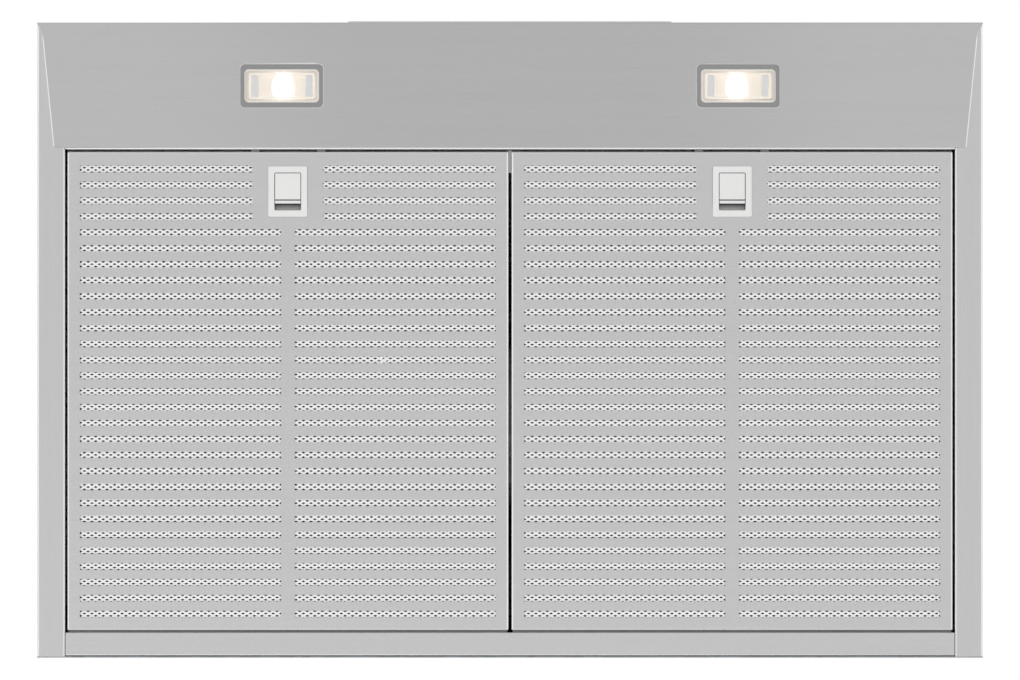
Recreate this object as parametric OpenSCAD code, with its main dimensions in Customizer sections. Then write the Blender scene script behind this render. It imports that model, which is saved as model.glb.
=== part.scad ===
// Wall mount chimney range hood with two slotted mesh filters, two lamps and a squirrel cage blower.
// Millimetres. The origin is the middle of the four wall screws, on the wall face.
// +Y points into the wall, the front faces -Y and +Z is up. Heights below are counted from the rim.

/* [Canopy] */
// Width of the hood across its rim
hood_width = 750; // [700:5:800]
// Depth from the wall to the front fascia
hood_depth = 504; // [490:2:530]
// Height of the upright fascia
lip_height = 56; // [54:1:70]
// Height from the rim to the chimney seat
canopy_height = 238; // [234:1:280]
// Thickness of the stainless sheet
sheet = 1; // [0.8:0.1:1.2]
// Outside radius of the folded sheet edges
fold_r = 2; // [1.6:0.1:2.5]
// Flat rim left around the foot of the chimney
seat_margin = 6; // [2:1:12]
// Width of the flange that turns inwards under the canopy top
top_flange = 24; // [20:1:30]
// Height of the wall screws' centre above the rim
hang_height = 140; // [130:1:150]
// Distance between the wall screws, side to side
hang_x = 300; // [240:10:320]
// Distance between the wall screws, up and down
hang_z = 120; // [100:5:130]
// Radius of the wall screw holes
hang_hole_r = 3.25; // [2.5:0.25:4]

/* [Underside] */
// Depth of the light panel behind the front edge
panel_depth = 101; // [90:0.5:110]
// How far the light panel's rear corners stand in from the side
panel_taper = 13; // [8:0.5:16]
// Width of the side flanges
side_rail = 22; // [18:0.5:26]
// Depth of the rear rail
rear_rail_depth = 20; // [18:0.5:24]
// Length of the hem folded back on the side flanges and the rear rail
hem_length = 8; // [5:0.5:10]
// Reach of the front ledge over the filters
front_ledge = 16; // [10:0.5:18]
// Gap in each butt joint of the sheets
butt_gap = 0.3; // [0.1:0.1:0.5]

/* [Filters] */
// Gap between the filters and the side flanges
filter_side_gap = 1.6; // [1:0.1:3]
// Gap between the two filters
filter_mid_gap = 2.4; // [2:0.1:5]
// Gap between the filters and the light panel
filter_front_gap = 1.8; // [1.5:0.1:4]
// Gap between the filters and the rear rail
filter_rear_gap = 1.8; // [1.2:0.1:2.5]
// Height of the filter pan
pan_height = 9.5; // [9:0.5:11]
// Thickness of the filter sheet
pan_sheet = 0.8; // [0.6:0.1:1]
// Radius of the pan's lower edges
pan_edge_r = 0.9; // [0.8:0.1:1.5]
// Rows of slots in one filter
slot_rows = 29; // [21:1:31]
// Rows that stop short of the latch
latch_rows = 4; // [4:1:4]
// Width of one slot
slot_width = 5.5; // [4:0.1:6.5]
// Corner radius of a slot
slot_corner = 0.8; // [0.4:0.1:1.5]
// Distance from the filter's front edge to the middle of the first row
slot_start = 13.5; // [12:0.1:15]
// Distance from the middle of the last row to the filter's rear edge
slot_end = 12.6; // [12:0.1:15]
// Plain margin beside the slots
slot_margin = 10; // [8:0.5:14]
// Plain web between the two columns of slots
slot_web = 10.7; // [8:0.1:14]
// Plain width kept clear for the latch
latch_blank = 55.5; // [50:0.5:60]
// Columns of openings in the metal pack
mesh_columns = 10; // [8:1:10]
// Rows of openings in the metal pack
mesh_rows = 14; // [12:1:14]
// Width of a strand of the metal pack
mesh_strand = 4; // [3:0.5:6]
// Width of the frame and bars behind the pack
back_bar = 9; // [7:0.5:12]
// Reach of a filter's hook strip over the rear rail's hem
hook_reach = 6; // [4:0.5:7]
// Distance of the hook strip's ends from the sides of the filter
hook_inset = 1; // [1:1:20]
// Height of the hook strip's leg on the rear of the filter
hook_leg = 5.5; // [4:0.5:6]
// Thickness of the hook strip
hook_sheet = 0.8; // [0.6:0.1:1]

/* [Latch] */
// Width of the latch bezel
bezel_width = 31; // [30:0.5:34]
// Length of the latch bezel, front to back
bezel_length = 40; // [38:0.5:42]
// Thickness of the bezel flange below the filter face
bezel_flange = 1.1; // [0.8:0.1:1.4]
// Distance from the filter's front edge to the bezel
bezel_inset = 11.4; // [10:0.1:12]
// Width of the finger pad
pad_width = 20.2; // [18:0.2:21]
// Distance from the bezel's ends to its opening
bezel_margin = 5.5; // [5:0.1:6]
// Travel of the finger pad
latch_travel = 5; // [4.5:0.1:5.5]
// Depth of the lip on the pad's rear edge
pad_lip = 2.2; // [1.5:0.1:3]
// Width of the groove in front of that lip
pad_groove = 1.1; // [0.8:0.1:1.5]
// Running gap around the finger pad
pad_gap = 0.45; // [0.35:0.05:0.5]
// Width of a latch tongue
tongue_width = 6.8; // [6:0.2:8]
// Distance between the two tongues of a latch
tongue_spacing = 52.4; // [48:0.2:53]
// Thickness of the tongue strip
tongue_sheet = 0.8; // [0.6:0.1:1]
// How far a tongue reaches over the light panel's rear lip
tongue_reach = 2.6; // [2:0.1:3.5]

/* [Lamps] */
// Distance of each lamp from the middle
lamp_x = 181; // [160:1:200]
// Distance of the lamps from the front edge
lamp_y = 50.5; // [45:0.5:52]
// Length of the lamp opening
lamp_length = 66.7; // [60:0.1:72]
// Width of the lamp opening
lamp_width = 35.4; // [32:0.1:38]
// Length of the lens
lens_length = 58; // [50:0.5:58]
// Width of the lens
lens_width = 25.2; // [22:0.2:26]
// Height of the lamp can
lamp_height = 26; // [22:1:34]
// Corner radius of the lamp opening
lamp_corner = 4; // [3.5:0.5:5]

/* [Controls] */
// Width of the control strip
strip_width = 258; // [240:2:280]
// Height of the control strip
strip_height = 44; // [40:1:44]
// Thickness of the control strip
strip_sheet = 1.1; // [0.8:0.1:1.4]
// Height of the buttons' centre above the rim
strip_z = 25; // [24.5:0.5:26]
// Distance between buttons
button_pitch = 34; // [30:1:38]
// Width of a button
button_width = 17; // [14:0.5:19]
// Height of a button
button_height = 11; // [9:0.5:13]
// Travel of a button
button_travel = 1.5; // [1:0.1:1.6]
// Running gap around a button
button_gap = 0.35; // [0.3:0.05:0.5]
// Depth of the button carrier behind the fascia
carrier_depth = 20; // [18:1:24]

/* [Blower] */
// Radius of the blower wheel
wheel_r = 75; // [70:1:76]
// Radial depth of a blade
blade_depth = 13; // [10:0.5:15]
// Number of blades
blades = 36; // [24:1:42]
// Radius of a blade's curve
blade_curve = 15; // [13:0.5:18]
// Half the width of the blower wheel
wheel_half = 52; // [46:1:53]
// Half the width of the scroll inside
scroll_half = 63; // [60:1:66]
// Smallest gap between the wheel and the scroll
scroll_gap = 5; // [4:0.5:6]
// Growth of the scroll's radius per quarter turn
scroll_step = 12; // [10:0.5:13]
// Sheet of the scroll
scroll_sheet = 1.2; // [1:0.1:1.5]
// Seam flange around the scroll sides
scroll_flange = 6; // [4:0.5:8]
// Depth of the blower axis below the top plate
wheel_drop = 101; // [99:1:108]
// Radius of the motor can
motor_r = 44; // [38:1:46]
// Radius of the motor shaft
shaft_r = 4; // [3:0.5:5]
// Running gap of the shaft in the motor's bearings
bearing_gap = 0.05; // [0.02:0.01:0.08]

/* [Duct and chimney] */
// Outside radius of the duct collar
collar_r = 74.5; // [70:0.5:76]
// Height of the duct collar
collar_height = 58; // [45:1:80]
// Wall of the duct collar
collar_wall = 1.2; // [1:0.1:1.5]
// Height of the damper rod above the collar's foot
damper_z = 20; // [14:1:28]
// Radius of the damper rod
damper_rod_r = 2; // [1.5:0.25:2.5]
// Sheet of the damper flaps
flap_sheet = 0.8; // [0.6:0.1:1]
// Width of the chimney cover
chimney_width = 300; // [290:2:320]
// Depth of the chimney cover
chimney_depth = 270; // [264:2:290]
// Height of the lower chimney cover
lower_height = 420; // [380:5:480]
// Length of the upper cover that shows above the lower one when pushed down
upper_reveal = 32; // [30:1:60]
// Gap between the two covers
chimney_gap = 0.6; // [0.4:0.1:1.5]
// Width of the covers' rear returns
chimney_return = 15; // [12:1:25]
// Thickness of the top plate
plate = 1.5; // [1.2:0.1:2]
// Vent slots in each side of the upper cover
vent_slots = 6; // [4:1:8]

/* [Hidden] */
$fn = 48;

// Colours
steel = "#b8babc";
bright_steel = "#c9cbcd";
galvanised = "#9da3a7";
light_plastic = "#e4e5e4";
dark_plastic = "#2b2d2f";

// Small lengths used in more than one place
eps = 0.5;
face_gap = 0.05;
fit_gap = 0.3;

// Underside levels and lengths
rail_z = sheet;
filter_z = rail_z + sheet + face_gap;
ledge_z = filter_z + pan_height + fit_gap - face_gap;
ledge_top = ledge_z + sheet;
rail_x = hood_width / 2 - side_rail;
panel_y = -hood_depth + panel_depth;
filter_width = rail_x - filter_side_gap - filter_mid_gap / 2;
filter_x = filter_mid_gap / 2 + filter_width / 2;
filter_front = panel_y + filter_front_gap;
filter_rear = -rear_rail_depth - filter_rear_gap;
filter_depth = filter_rear - filter_front;
filter_y = (filter_rear + filter_front) / 2;

// Slots
slot_pitch = (filter_depth - slot_start - slot_end) / (slot_rows - 1);
slot_length = (filter_width - 2 * slot_margin - slot_web) / 2;
short_slot = (filter_width - 2 * slot_margin - latch_blank) / 2;

// Latch, all measured from the filter's front edge and level
bezel_y = filter_front + bezel_inset + bezel_length / 2;
bezel_wall = 1.3;
bezel_lap = 1.4;
bezel_height = 8.4;
pad_z = filter_z + 2;
pad_plate = 1.25;
pad_length = bezel_length - 2 * bezel_margin - latch_travel;
pad_front = bezel_y - bezel_length / 2 + bezel_margin;
yoke_z = pad_z + fit_gap / 3 + pad_plate + face_gap;
yoke_bar = 5;
shelf_z = pad_z + fit_gap / 3 + pad_plate + fit_gap;
shelf = 1;
shelf_front = pad_front + pad_length - 0.6;
post = 2;
post_y = shelf_front - latch_travel - fit_gap - post;
spring_z = shelf_z + shelf + 0.2;
spring_width = 3;

// Chimney seat and scroll
seat_width = chimney_width + 2 * seat_margin;
seat_depth = chimney_depth + seat_margin;
front_rise = (canopy_height - lip_height) / (hood_depth - seat_depth);
side_rise = (canopy_height - lip_height) / ((hood_width - seat_width) / 2);
scroll_r = wheel_r + scroll_gap;
outlet_depth = scroll_r + 3.5 * scroll_step;
collar_y = -chimney_depth / 2;
wheel_y = collar_y + scroll_step / 2 - outlet_depth / 2;
wheel_z = canopy_height - wheel_drop;
collar_z = canopy_height + plate;
rod_z = collar_z + damper_z;
plate_x = chimney_width / 2 - sheet - fit_gap;
plate_flange = 22;
upper_z = collar_z + plate_flange + 5;
upper_height = canopy_height + lower_height + upper_reveal - upper_z;
bracket_height = 24;
bracket_z = upper_z + upper_height - bracket_height - 3;
disc_x = 12;
gland_x = -seat_width / 2 + top_flange + 18;
gland_y = -seat_depth + top_flange + 18;
side_x = scroll_half + scroll_sheet;

// Control strip
carrier_wall = 2;
carrier_front = -hood_depth + sheet + 0.2;
switch_front = carrier_front + carrier_depth - 5.5;
button_flange = 1.5;

// Electrical box beside the blower, and the capacitor on the other side
box_w = 130;
box_d = 44;
box_h = 72;
box_wall = 1.5;
box_x = -hood_width / 2 + 160;
box_z = 46;
lid_sheet = 1.2;
can_x = 150;
can_z = 70;
can_r = 17;
can_length = 58;

// Hangs a piece drawn from the rim at its height below the wall screws
module hung(c) {
    color(c) translate([0, 0, -hang_height]) children();
}

// Profile drawn in Y and Z, run along X about the middle
module run_x(length) {
    translate([-length / 2, 0, 0]) rotate([90, 0, 90]) linear_extrude(length) children();
}

// Profile drawn in X and Z, run along Y between two depths
module run_y(front, rear) {
    translate([0, rear, 0]) rotate([90, 0, 0]) linear_extrude(rear - front) children();
}

// Profile drawn in X and Y, raised between two heights
module run_z(bottom, top) {
    translate([0, 0, bottom]) linear_extrude(top - bottom) children();
}

// Rectangle with round corners about its middle
module round_rect(w, d, r) {
    square([w - 2 * r, d], center = true);
    square([w, d - 2 * r], center = true);
    for (x = [-1, 1], y = [-1, 1])
        translate([x * (w / 2 - r), y * (d / 2 - r)]) circle(r);
}

// Quarter of a folded edge, in the quadrant that the two signs give
module fold(across, up, t) {
    intersection() {
        difference() {
            circle(fold_r);
            circle(fold_r - t);
        }
        translate([across < 0 ? -fold_r : 0, up < 0 ? -fold_r : 0]) square(fold_r);
    }
}

// Canopy form inside a wall of the given thickness
module canopy_form(t, bottom, top, rear) {
    front_shift = t * sqrt(1 + front_rise * front_rise);
    side_shift = t * sqrt(1 + side_rise * side_rise);
    front_y = t - hood_depth;
    side_x = hood_width / 2 - t;
    top_y = -hood_depth + (top - lip_height + front_shift) / front_rise;
    top_x = hood_width / 2 - (top - lip_height + side_shift) / side_rise;
    front_lip = lip_height + t * front_rise - front_shift;
    side_lip = lip_height + t * side_rise - side_shift;
    intersection() {
        run_x(hood_width + 2 * eps)
            polygon([
                [front_y, bottom], [front_y, front_lip], [top_y, top], [rear, top], [rear, bottom]
            ]);
        run_y(-hood_depth - eps, rear)
            polygon([
                [-side_x, bottom], [-side_x, side_lip], [-top_x, top],
                [top_x, top], [side_x, side_lip], [side_x, bottom]
            ]);
    }
}

// Side flange in section, for the right side: fold, flange and closed hem
module side_rail_section() {
    translate([hood_width / 2 - fold_r, rail_z + fold_r]) fold(1, -1, sheet);
    translate([rail_x + sheet, rail_z]) square([side_rail - fold_r - sheet, sheet]);
    translate([rail_x + sheet, rail_z]) square([hem_length, 2 * sheet]);
    translate([rail_x + sheet, rail_z + sheet]) circle(sheet);
}

module canopy_shell() hung(steel) {
    difference() {
        canopy_form(0, rail_z + fold_r, canopy_height, -sheet);
        canopy_form(sheet, 0, canopy_height - sheet, eps);
        translate([-hood_width, -hood_depth - eps, 0])
            cube([2 * hood_width, sheet + eps, lip_height]);
        translate([-seat_width / 2 + top_flange, -seat_depth + top_flange, canopy_height - 2 * sheet])
            cube([seat_width - 2 * top_flange, seat_depth - 1.6 * top_flange, 3 * sheet]);
        plate_holes(canopy_height - 5, canopy_height + 5, 1.7);
    }
    for (side = [0, 1])
        mirror([side, 0, 0]) run_y(-hood_depth + fold_r, -sheet) side_rail_section();
}

// Front fascia, light panel, its rear wall and the ledge over the filters, in section
module front_section() {
    wall_top = ledge_top - fold_r;
    translate([-hood_depth, fold_r]) square([sheet, lip_height - fold_r]);
    translate([-hood_depth + fold_r, fold_r]) fold(-1, -1, sheet);
    translate([-hood_depth + fold_r, 0]) square([panel_depth - 2 * fold_r, sheet]);
    translate([panel_y - fold_r, fold_r]) fold(1, -1, sheet);
    translate([panel_y - sheet, fold_r]) square([sheet, wall_top - fold_r]);
    translate([panel_y - sheet + fold_r, wall_top]) fold(-1, 1, sheet);
    translate([panel_y - sheet + fold_r, ledge_z])
        square([filter_front_gap + front_ledge + sheet - fold_r, sheet]);
}

module front_panel() hung(steel) {
    half = hood_width / 2;
    corner = 3.8;
    wall_x = rail_x - butt_gap;
    behind = panel_y + filter_front_gap + front_ledge + eps;
    difference() {
        intersection() {
            run_x(hood_width) front_section();
            run_z(-eps, lip_height)
                polygon([
                    [-half, -hood_depth], [half, -hood_depth], [half, -hood_depth + sheet],
                    [half - corner, -hood_depth + 2 * corner], [half - panel_taper, panel_y - fold_r],
                    [wall_x, panel_y - fold_r], [wall_x, behind], [-wall_x, behind],
                    [-wall_x, panel_y - fold_r], [-half + panel_taper, panel_y - fold_r],
                    [-half + corner, -hood_depth + 2 * corner], [-half, -hood_depth + sheet]
                ]);
        }
        for (x = [-lamp_x, lamp_x])
            translate([x, -hood_depth + lamp_y, 0])
                run_z(-eps, 2 * sheet) round_rect(lamp_length, lamp_width, lamp_corner);
        for (x = [-filter_x, filter_x], t = [-0.5, 0.5])
            translate([x + t * tongue_spacing, panel_y - sheet / 2, yoke_z + tongue_sheet / 2 + eps])
                cube(
                    [tongue_width + 1, 2 * sheet, tongue_sheet + 2 * (eps + face_gap)],
                    center = true
                );
        translate([0, 0, strip_z])
            run_y(-hood_depth - eps, -hood_depth + 2 * sheet)
                round_rect(4 * button_pitch + button_width + 8, button_height + 8, 3);
        carrier_holes(-hood_depth - eps, -hood_depth + 2 * sheet, 1.6);
    }
}

module back_panel() hung(galvanised) {
    half = hood_width / 2;
    difference() {
        run_y(-sheet, 0)
            polygon([
                [-half, rail_z], [-half, lip_height], [-seat_width / 2, canopy_height],
                [seat_width / 2, canopy_height], [half, lip_height], [half, rail_z]
            ]);
        for (x = [-0.5, 0.5], z = [-0.5, 0.5])
            translate([x * hang_x, eps, hang_height + z * hang_z])
                rotate([90, 0, 0]) cylinder(r = hang_hole_r, h = sheet + 2 * eps);
    }
}

// Rear rail in section: rear web, rail and the closed hem that the filters hang on
module rear_section() {
    rear_web = 14;
    front = -rear_rail_depth + sheet;
    translate([-2 * sheet, rail_z + fold_r]) square([sheet, rear_web]);
    translate([-sheet - fold_r, rail_z + fold_r]) fold(1, -1, sheet);
    translate([front, rail_z]) square([-sheet - fold_r - front, sheet]);
    translate([front, rail_z]) square([hem_length, 2 * sheet]);
    translate([front, rail_z + sheet]) circle(sheet);
}

module rear_rail() hung(steel) {
    run_x(2 * (rail_x - butt_gap)) rear_section();
}

// Solid pan with round lower edges, its floor at the given height
module pan_form(w, d, h, r) {
    intersection() {
        run_y(filter_y - d / 2, filter_y + d / 2) pan_profile(w, h, r);
        translate([0, filter_y, 0]) run_x(w) pan_profile(d, h, r);
    }
}

// Section of a pan that stands on its round corners
module pan_profile(w, h, r) {
    translate([-w / 2 + r, 0]) square([w - 2 * r, h]);
    translate([-w / 2, r]) square([w, h - r]);
    for (x = [-1, 1])
        translate([x * (w / 2 - r), r]) circle(r);
}

// Plan of all the slots of one filter
module slot_plan() {
    for (i = [0 : slot_rows - 1], side = [-1, 1]) {
        long = i < latch_rows ? short_slot : slot_length;
        translate([
            side * (filter_width / 2 - slot_margin - long / 2),
            filter_front + slot_start + i * slot_pitch
        ])
            round_rect(long, slot_width, slot_corner);
    }
}

module filter_face(side) hung(bright_steel) {
    body_x = bezel_width - 2 * bezel_lap;
    body_y = bezel_length - 2 * bezel_lap;
    translate([side * filter_x, 0, filter_z])
        difference() {
            pan_form(filter_width, filter_depth, pan_height, pan_edge_r);
            translate([0, 0, pan_sheet])
                pan_form(
                    filter_width - 2 * pan_sheet, filter_depth - 2 * pan_sheet,
                    pan_height, pan_edge_r - pan_sheet
                );
            run_z(-eps, 2 * pan_sheet) slot_plan();
            translate([0, bezel_y, 0])
                run_z(-eps, 2 * pan_sheet) square([body_x + fit_gap, body_y + fit_gap], center = true);
            for (t = [-0.5, 0.5])
                translate([t * tongue_spacing, filter_front, yoke_z - filter_z + tongue_sheet / 2])
                    cube(
                        [tongue_width + 2 * fit_gap, 4 * pan_sheet, tongue_sheet + 2 * fit_gap],
                        center = true
                    );
        }
}

// Angle strip welded to the rear of the pan, which hooks over the rear rail
module filter_hook(side) hung(bright_steel) {
    leg_y = filter_rear + face_gap;
    translate([side * filter_x, 0, rail_z + 2 * sheet + face_gap])
        run_x(filter_width - 2 * hook_inset) {
            translate([leg_y, 0]) square([hook_sheet, hook_leg]);
            translate([leg_y, 0])
                square([filter_rear_gap - face_gap + sheet + hook_reach, hook_sheet]);
        }
}

// Space in the pack for the latch body and its yoke, in plan
module latch_pocket() {
    bar_rear = yoke_bar + latch_travel + 1;
    translate([-tongue_spacing / 2 - tongue_width / 2 - 1, filter_front])
        square([tongue_spacing + tongue_width + 2, pan_sheet + 1 + bar_rear]);
    translate([-bezel_width / 2, filter_front])
        square([bezel_width, bezel_inset + bezel_length]);
}

module filter_mesh(side) hung("#dfe1e3") {
    w = filter_width - 2 * pan_sheet - 4 * fit_gap;
    d = filter_depth - 2 * pan_sheet - 4 * fit_gap;
    pitch_x = w / mesh_columns;
    pitch_y = d / mesh_rows;
    open_x = pitch_x / 2 - mesh_strand / 2;
    open_y = pitch_y / 2 - mesh_strand / 2;
    translate([side * filter_x, 0, filter_z])
        run_z(pan_sheet + fit_gap / 2, pan_height - pan_sheet - fit_gap)
            difference() {
                translate([0, filter_y]) square([w, d], center = true);
                latch_pocket();
                for (i = [0 : 2 * mesh_columns - 2], j = [0 : 2 * mesh_rows - 2])
                    if ((i + j) % 2 == 0)
                        translate([(i + 1) * pitch_x / 2 - w / 2, filter_y + (j + 1) * pitch_y / 2 - d / 2])
                            polygon([[-open_x, 0], [0, -open_y], [open_x, 0], [0, open_y]]);
            }
}

module filter_back(side) hung(galvanised) {
    w = filter_width - 2 * pan_sheet - 2 * fit_gap;
    d = filter_depth - 2 * pan_sheet - 2 * fit_gap;
    columns = 4;
    rows = 5;
    win_x = (w - (columns + 1) * back_bar) / columns;
    win_y = (d - (rows + 1) * back_bar) / rows;
    translate([side * filter_x, filter_y, filter_z])
        run_z(pan_height - pan_sheet - face_gap, pan_height - face_gap)
            difference() {
                square([w, d], center = true);
                for (i = [0 : columns - 1], j = [0 : rows - 1])
                    translate([
                        (i - (columns - 1) / 2) * (win_x + back_bar),
                        (j - (rows - 1) / 2) * (win_y + back_bar)
                    ])
                        round_rect(win_x, win_y, 5);
            }
}

module latch_bezel(side) hung(light_plastic) {
    body_x = bezel_width - 2 * bezel_lap;
    body_y = bezel_length - 2 * bezel_lap;
    guide_x = body_x - 2 * bezel_wall;
    guide_y = body_y - 2 * bezel_wall;
    pad_y = pad_length + latch_travel + 2 * pad_gap;
    translate([side * filter_x, bezel_y, 0]) {
        difference() {
            union() {
                run_z(filter_z - bezel_flange, filter_z) round_rect(bezel_width, bezel_length, 1.5);
                run_z(filter_z - eps, filter_z + bezel_height) square([body_x, body_y], center = true);
            }
            translate([0, pad_front - pad_gap + pad_y / 2 - bezel_y, 0])
                run_z(0, filter_z + 3) round_rect(pad_width + 2 * pad_gap, pad_y, 1);
            run_z(pad_z, filter_z + bezel_height + eps) square([guide_x, guide_y], center = true);
            translate([0, -body_y / 2, yoke_z + tongue_sheet / 2])
                cube([15, 4 * bezel_wall, tongue_sheet + 2 * fit_gap], center = true);
        }
        translate([-guide_x / 2 - eps, shelf_front - bezel_y, shelf_z])
            cube([guide_x + 2 * eps, guide_y / 2 + bezel_y - shelf_front + eps, shelf]);
    }
}

module latch_pad(side) hung(light_plastic) {
    guide = bezel_width - 2 * (bezel_lap + bezel_wall + pad_gap);
    plate_z = pad_z + fit_gap / 3;
    face_z = filter_z - bezel_flange + 0.3;
    flank = 2 - pad_gap;
    translate([side * filter_x, pad_front, 0]) {
        difference() {
            translate([-pad_width / 2, 0, face_z]) cube([pad_width, pad_length, plate_z - face_z]);
            translate([-pad_width / 2 - eps, pad_length - pad_lip - pad_groove, face_z - eps])
                cube([pad_width + 2 * eps, pad_groove, pad_groove + eps]);
        }
        translate([-pad_width / 2, pad_length - pad_lip, filter_z - bezel_flange])
            cube([pad_width, pad_lip, bezel_flange]);
        translate([-guide / 2, -flank, plate_z]) cube([guide, pad_length + flank, pad_plate]);
    }
    translate([side * filter_x - 3 * post / 2, post_y, plate_z + pad_plate - eps])
        cube([3 * post, post, spring_z + spring_width - plate_z - pad_plate + eps]);
}

// Bright strip that joins the pad to the two tongues and springs the pad forwards
module latch_yoke(side) hung("#d8dadb") {
    bar_front = filter_front + pan_sheet + 1;
    arm = 14;
    translate([side * filter_x, 0, yoke_z]) {
        run_z(0, tongue_sheet) {
            translate([-(tongue_spacing + tongue_width) / 2, bar_front])
                square([tongue_spacing + tongue_width, yoke_bar]);
            translate([-arm / 2, bar_front]) square([arm, pad_front + 10 - bar_front]);
            for (t = [-0.5, 0.5])
                translate([t * tongue_spacing - tongue_width / 2, panel_y - sheet - tongue_reach])
                    square([tongue_width, bar_front + 1 - panel_y + sheet + tongue_reach]);
        }
    }
}

// Bowed leaf on the bezel's shelf, between the pad's post and the rear wall
module latch_spring(side) hung(galvanised) {
    seat = bezel_y + bezel_length / 2 - bezel_lap - bezel_wall;
    start = post_y + post;
    rise = seat - start - fit_gap;
    chord = 18;
    bow_r = (chord * chord / 4 + rise * rise) / (2 * rise);
    leaf = 0.4;
    translate([side * filter_x, start + fit_gap / 2 + bow_r, spring_z])
        run_z(0, spring_width)
            intersection() {
                difference() {
                    circle(bow_r, $fn = 128);
                    circle(bow_r - leaf, $fn = 128);
                }
                translate([-bow_r, -bow_r]) square([2 * bow_r, rise]);
            }
}

module lamp_trim(side) hung("#8f9193") {
    lap = 4;
    translate([side * lamp_x, -hood_depth + lamp_y, 0])
        difference() {
            union() {
                run_z(0.35, sheet + fit_gap)
                    round_rect(lamp_length - fit_gap, lamp_width - fit_gap, lamp_corner - fit_gap / 2);
                run_z(sheet + face_gap, sheet + 1.2)
                    round_rect(lamp_length + 2 * lap, lamp_width + 2 * lap, lamp_corner + lap);
            }
            run_z(-eps, 5) round_rect(lens_length + fit_gap, lens_width + fit_gap, 3);
        }
}

module lamp_lens(side) hung("#eceae2") {
    step_in = 5;
    rim = sheet + 1.2 + face_gap;
    translate([side * lamp_x, -hood_depth + lamp_y, 0]) {
        run_z(0.7, rim + 1) round_rect(lens_length - fit_gap, lens_width - fit_gap, 2.8);
        run_z(0.1, 0.7 + eps) round_rect(lens_length - step_in, lens_width - step_in, 2);
        run_z(rim, rim + 1) round_rect(lens_length + 3, lens_width + 3, 4);
    }
}

module lamp_reflector(side) hung("#9a9b9c") {
    base = sheet + 2.2 + 2 * face_gap;
    lip = 1.2;
    inside = lens_length - 4;
    bar = 4.8;
    bar_x = 21.4;
    window = lens_width - 6.2;
    end_window = inside / 2 - bar_x - bar / 2 - 1;
    translate([side * lamp_x, -hood_depth + lamp_y, 0])
        difference() {
            run_z(base, base + 9) round_rect(lens_length - 1, lens_width + 1, 3);
            run_z(base - eps, base + lip) {
                round_rect(2 * bar_x - bar, window, 1);
                for (x = [-1, 1])
                    translate([x * (bar_x + bar / 2 + end_window / 2), 0])
                        round_rect(end_window, window, 0.8);
            }
            run_z(base + lip - face_gap, base + 9 + eps) round_rect(inside, lens_width - 2, 2);
        }
}

module lamp_can(side) hung(galvanised) {
    foot = sheet + 1.2 + face_gap;
    wall = 1.2;
    translate([side * lamp_x, -hood_depth + lamp_y, 0])
        difference() {
            union() {
                run_z(foot, foot + lamp_height) round_rect(lamp_length, lamp_width, lamp_corner);
                run_z(foot, foot + wall) round_rect(lamp_length + 6, lamp_width + 6, lamp_corner + 3);
            }
            run_z(foot - eps, foot + lamp_height - wall)
                round_rect(lamp_length - 2 * wall, lamp_width - 2 * wall, lamp_corner - wall);
            translate([0, 0, foot + lamp_height - wall - eps])
                cylinder(r = 4, h = wall + 2 * eps);
        }
}

module lamp_led(side) hung("#f4e9c8") {
    base = sheet + 2.2 + 9 + 3 * face_gap;
    board = 1.6;
    translate([side * lamp_x, -hood_depth + lamp_y, 0]) {
        run_z(base, base + board) round_rect(lens_length - 2, lens_width, 2);
        translate([0, 0, base])
            intersection() {
                sphere(r = 5);
                translate([-6, -6, -6]) cube([12, 12, 6]);
            }
    }
}

// Windows of the buttons, in X and Z about the strip's middle
module button_windows(gap) {
    for (i = [-2 : 2])
        translate([i * button_pitch, strip_z])
            round_rect(button_width + 2 * gap, button_height + 2 * gap, 2 + gap);
}

// Screw holes at the two ends of the button carrier
module carrier_holes(front, rear, r) {
    for (x = [-1, 1])
        translate([x * (2 * button_pitch + button_width / 2 + 11), 0, strip_z])
            run_y(front, rear) circle(r);
}

module control_strip() hung(bright_steel) {
    difference() {
        translate([0, 0, strip_z])
            run_y(-hood_depth - strip_sheet, -hood_depth) round_rect(strip_width, strip_height, 3);
        run_y(-hood_depth - strip_sheet - eps, -hood_depth + eps) button_windows(button_gap);
    }
}

module button_carrier() hung(dark_plastic) {
    w = 4 * button_pitch + button_width + 6;
    ear = 14;
    ends = w + 2 * ear;
    h = button_height + 6;
    rear = carrier_front + carrier_depth;
    difference() {
        union() {
            translate([0, 0, strip_z]) {
                run_y(carrier_front, carrier_front + carrier_wall) round_rect(ends, h + 12, 3);
                run_y(carrier_front, rear) square([w + 6, h + 6], center = true);
                run_y(-hood_depth + face_gap, carrier_front + eps) round_rect(w, h, 2);
            }
        }
        run_y(-hood_depth - eps, rear) button_windows(button_gap);
        translate([0, 0, strip_z])
            run_y(carrier_front + carrier_wall, rear + eps) square([w + 2, h + 2], center = true);
        carrier_holes(carrier_front - eps, carrier_front + 2 * carrier_wall, 1.4);
    }
}

module button(i) hung("#33363a") {
    stop_y = carrier_front + carrier_wall + fit_gap;
    translate([i * button_pitch, 0, strip_z]) {
        run_y(-hood_depth - strip_sheet, stop_y) round_rect(button_width, button_height, 2);
        run_y(stop_y, stop_y + button_flange)
            round_rect(button_width + 3, button_height + 3, 2);
        run_y(stop_y, switch_front - button_travel - fit_gap) circle(2.5);
    }
}

module control_board() hung("#2f6b45") {
    board_y = carrier_front + carrier_depth + face_gap;
    w = 4 * button_pitch + button_width + 12;
    translate([0, 0, strip_z]) {
        run_y(board_y, board_y + 1.6) square([w, button_height + 12], center = true);
        for (i = [-2 : 2])
            translate([i * button_pitch, 0, 0])
                run_y(switch_front, board_y + eps) square([6, 6], center = true);
    }
}

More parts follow.
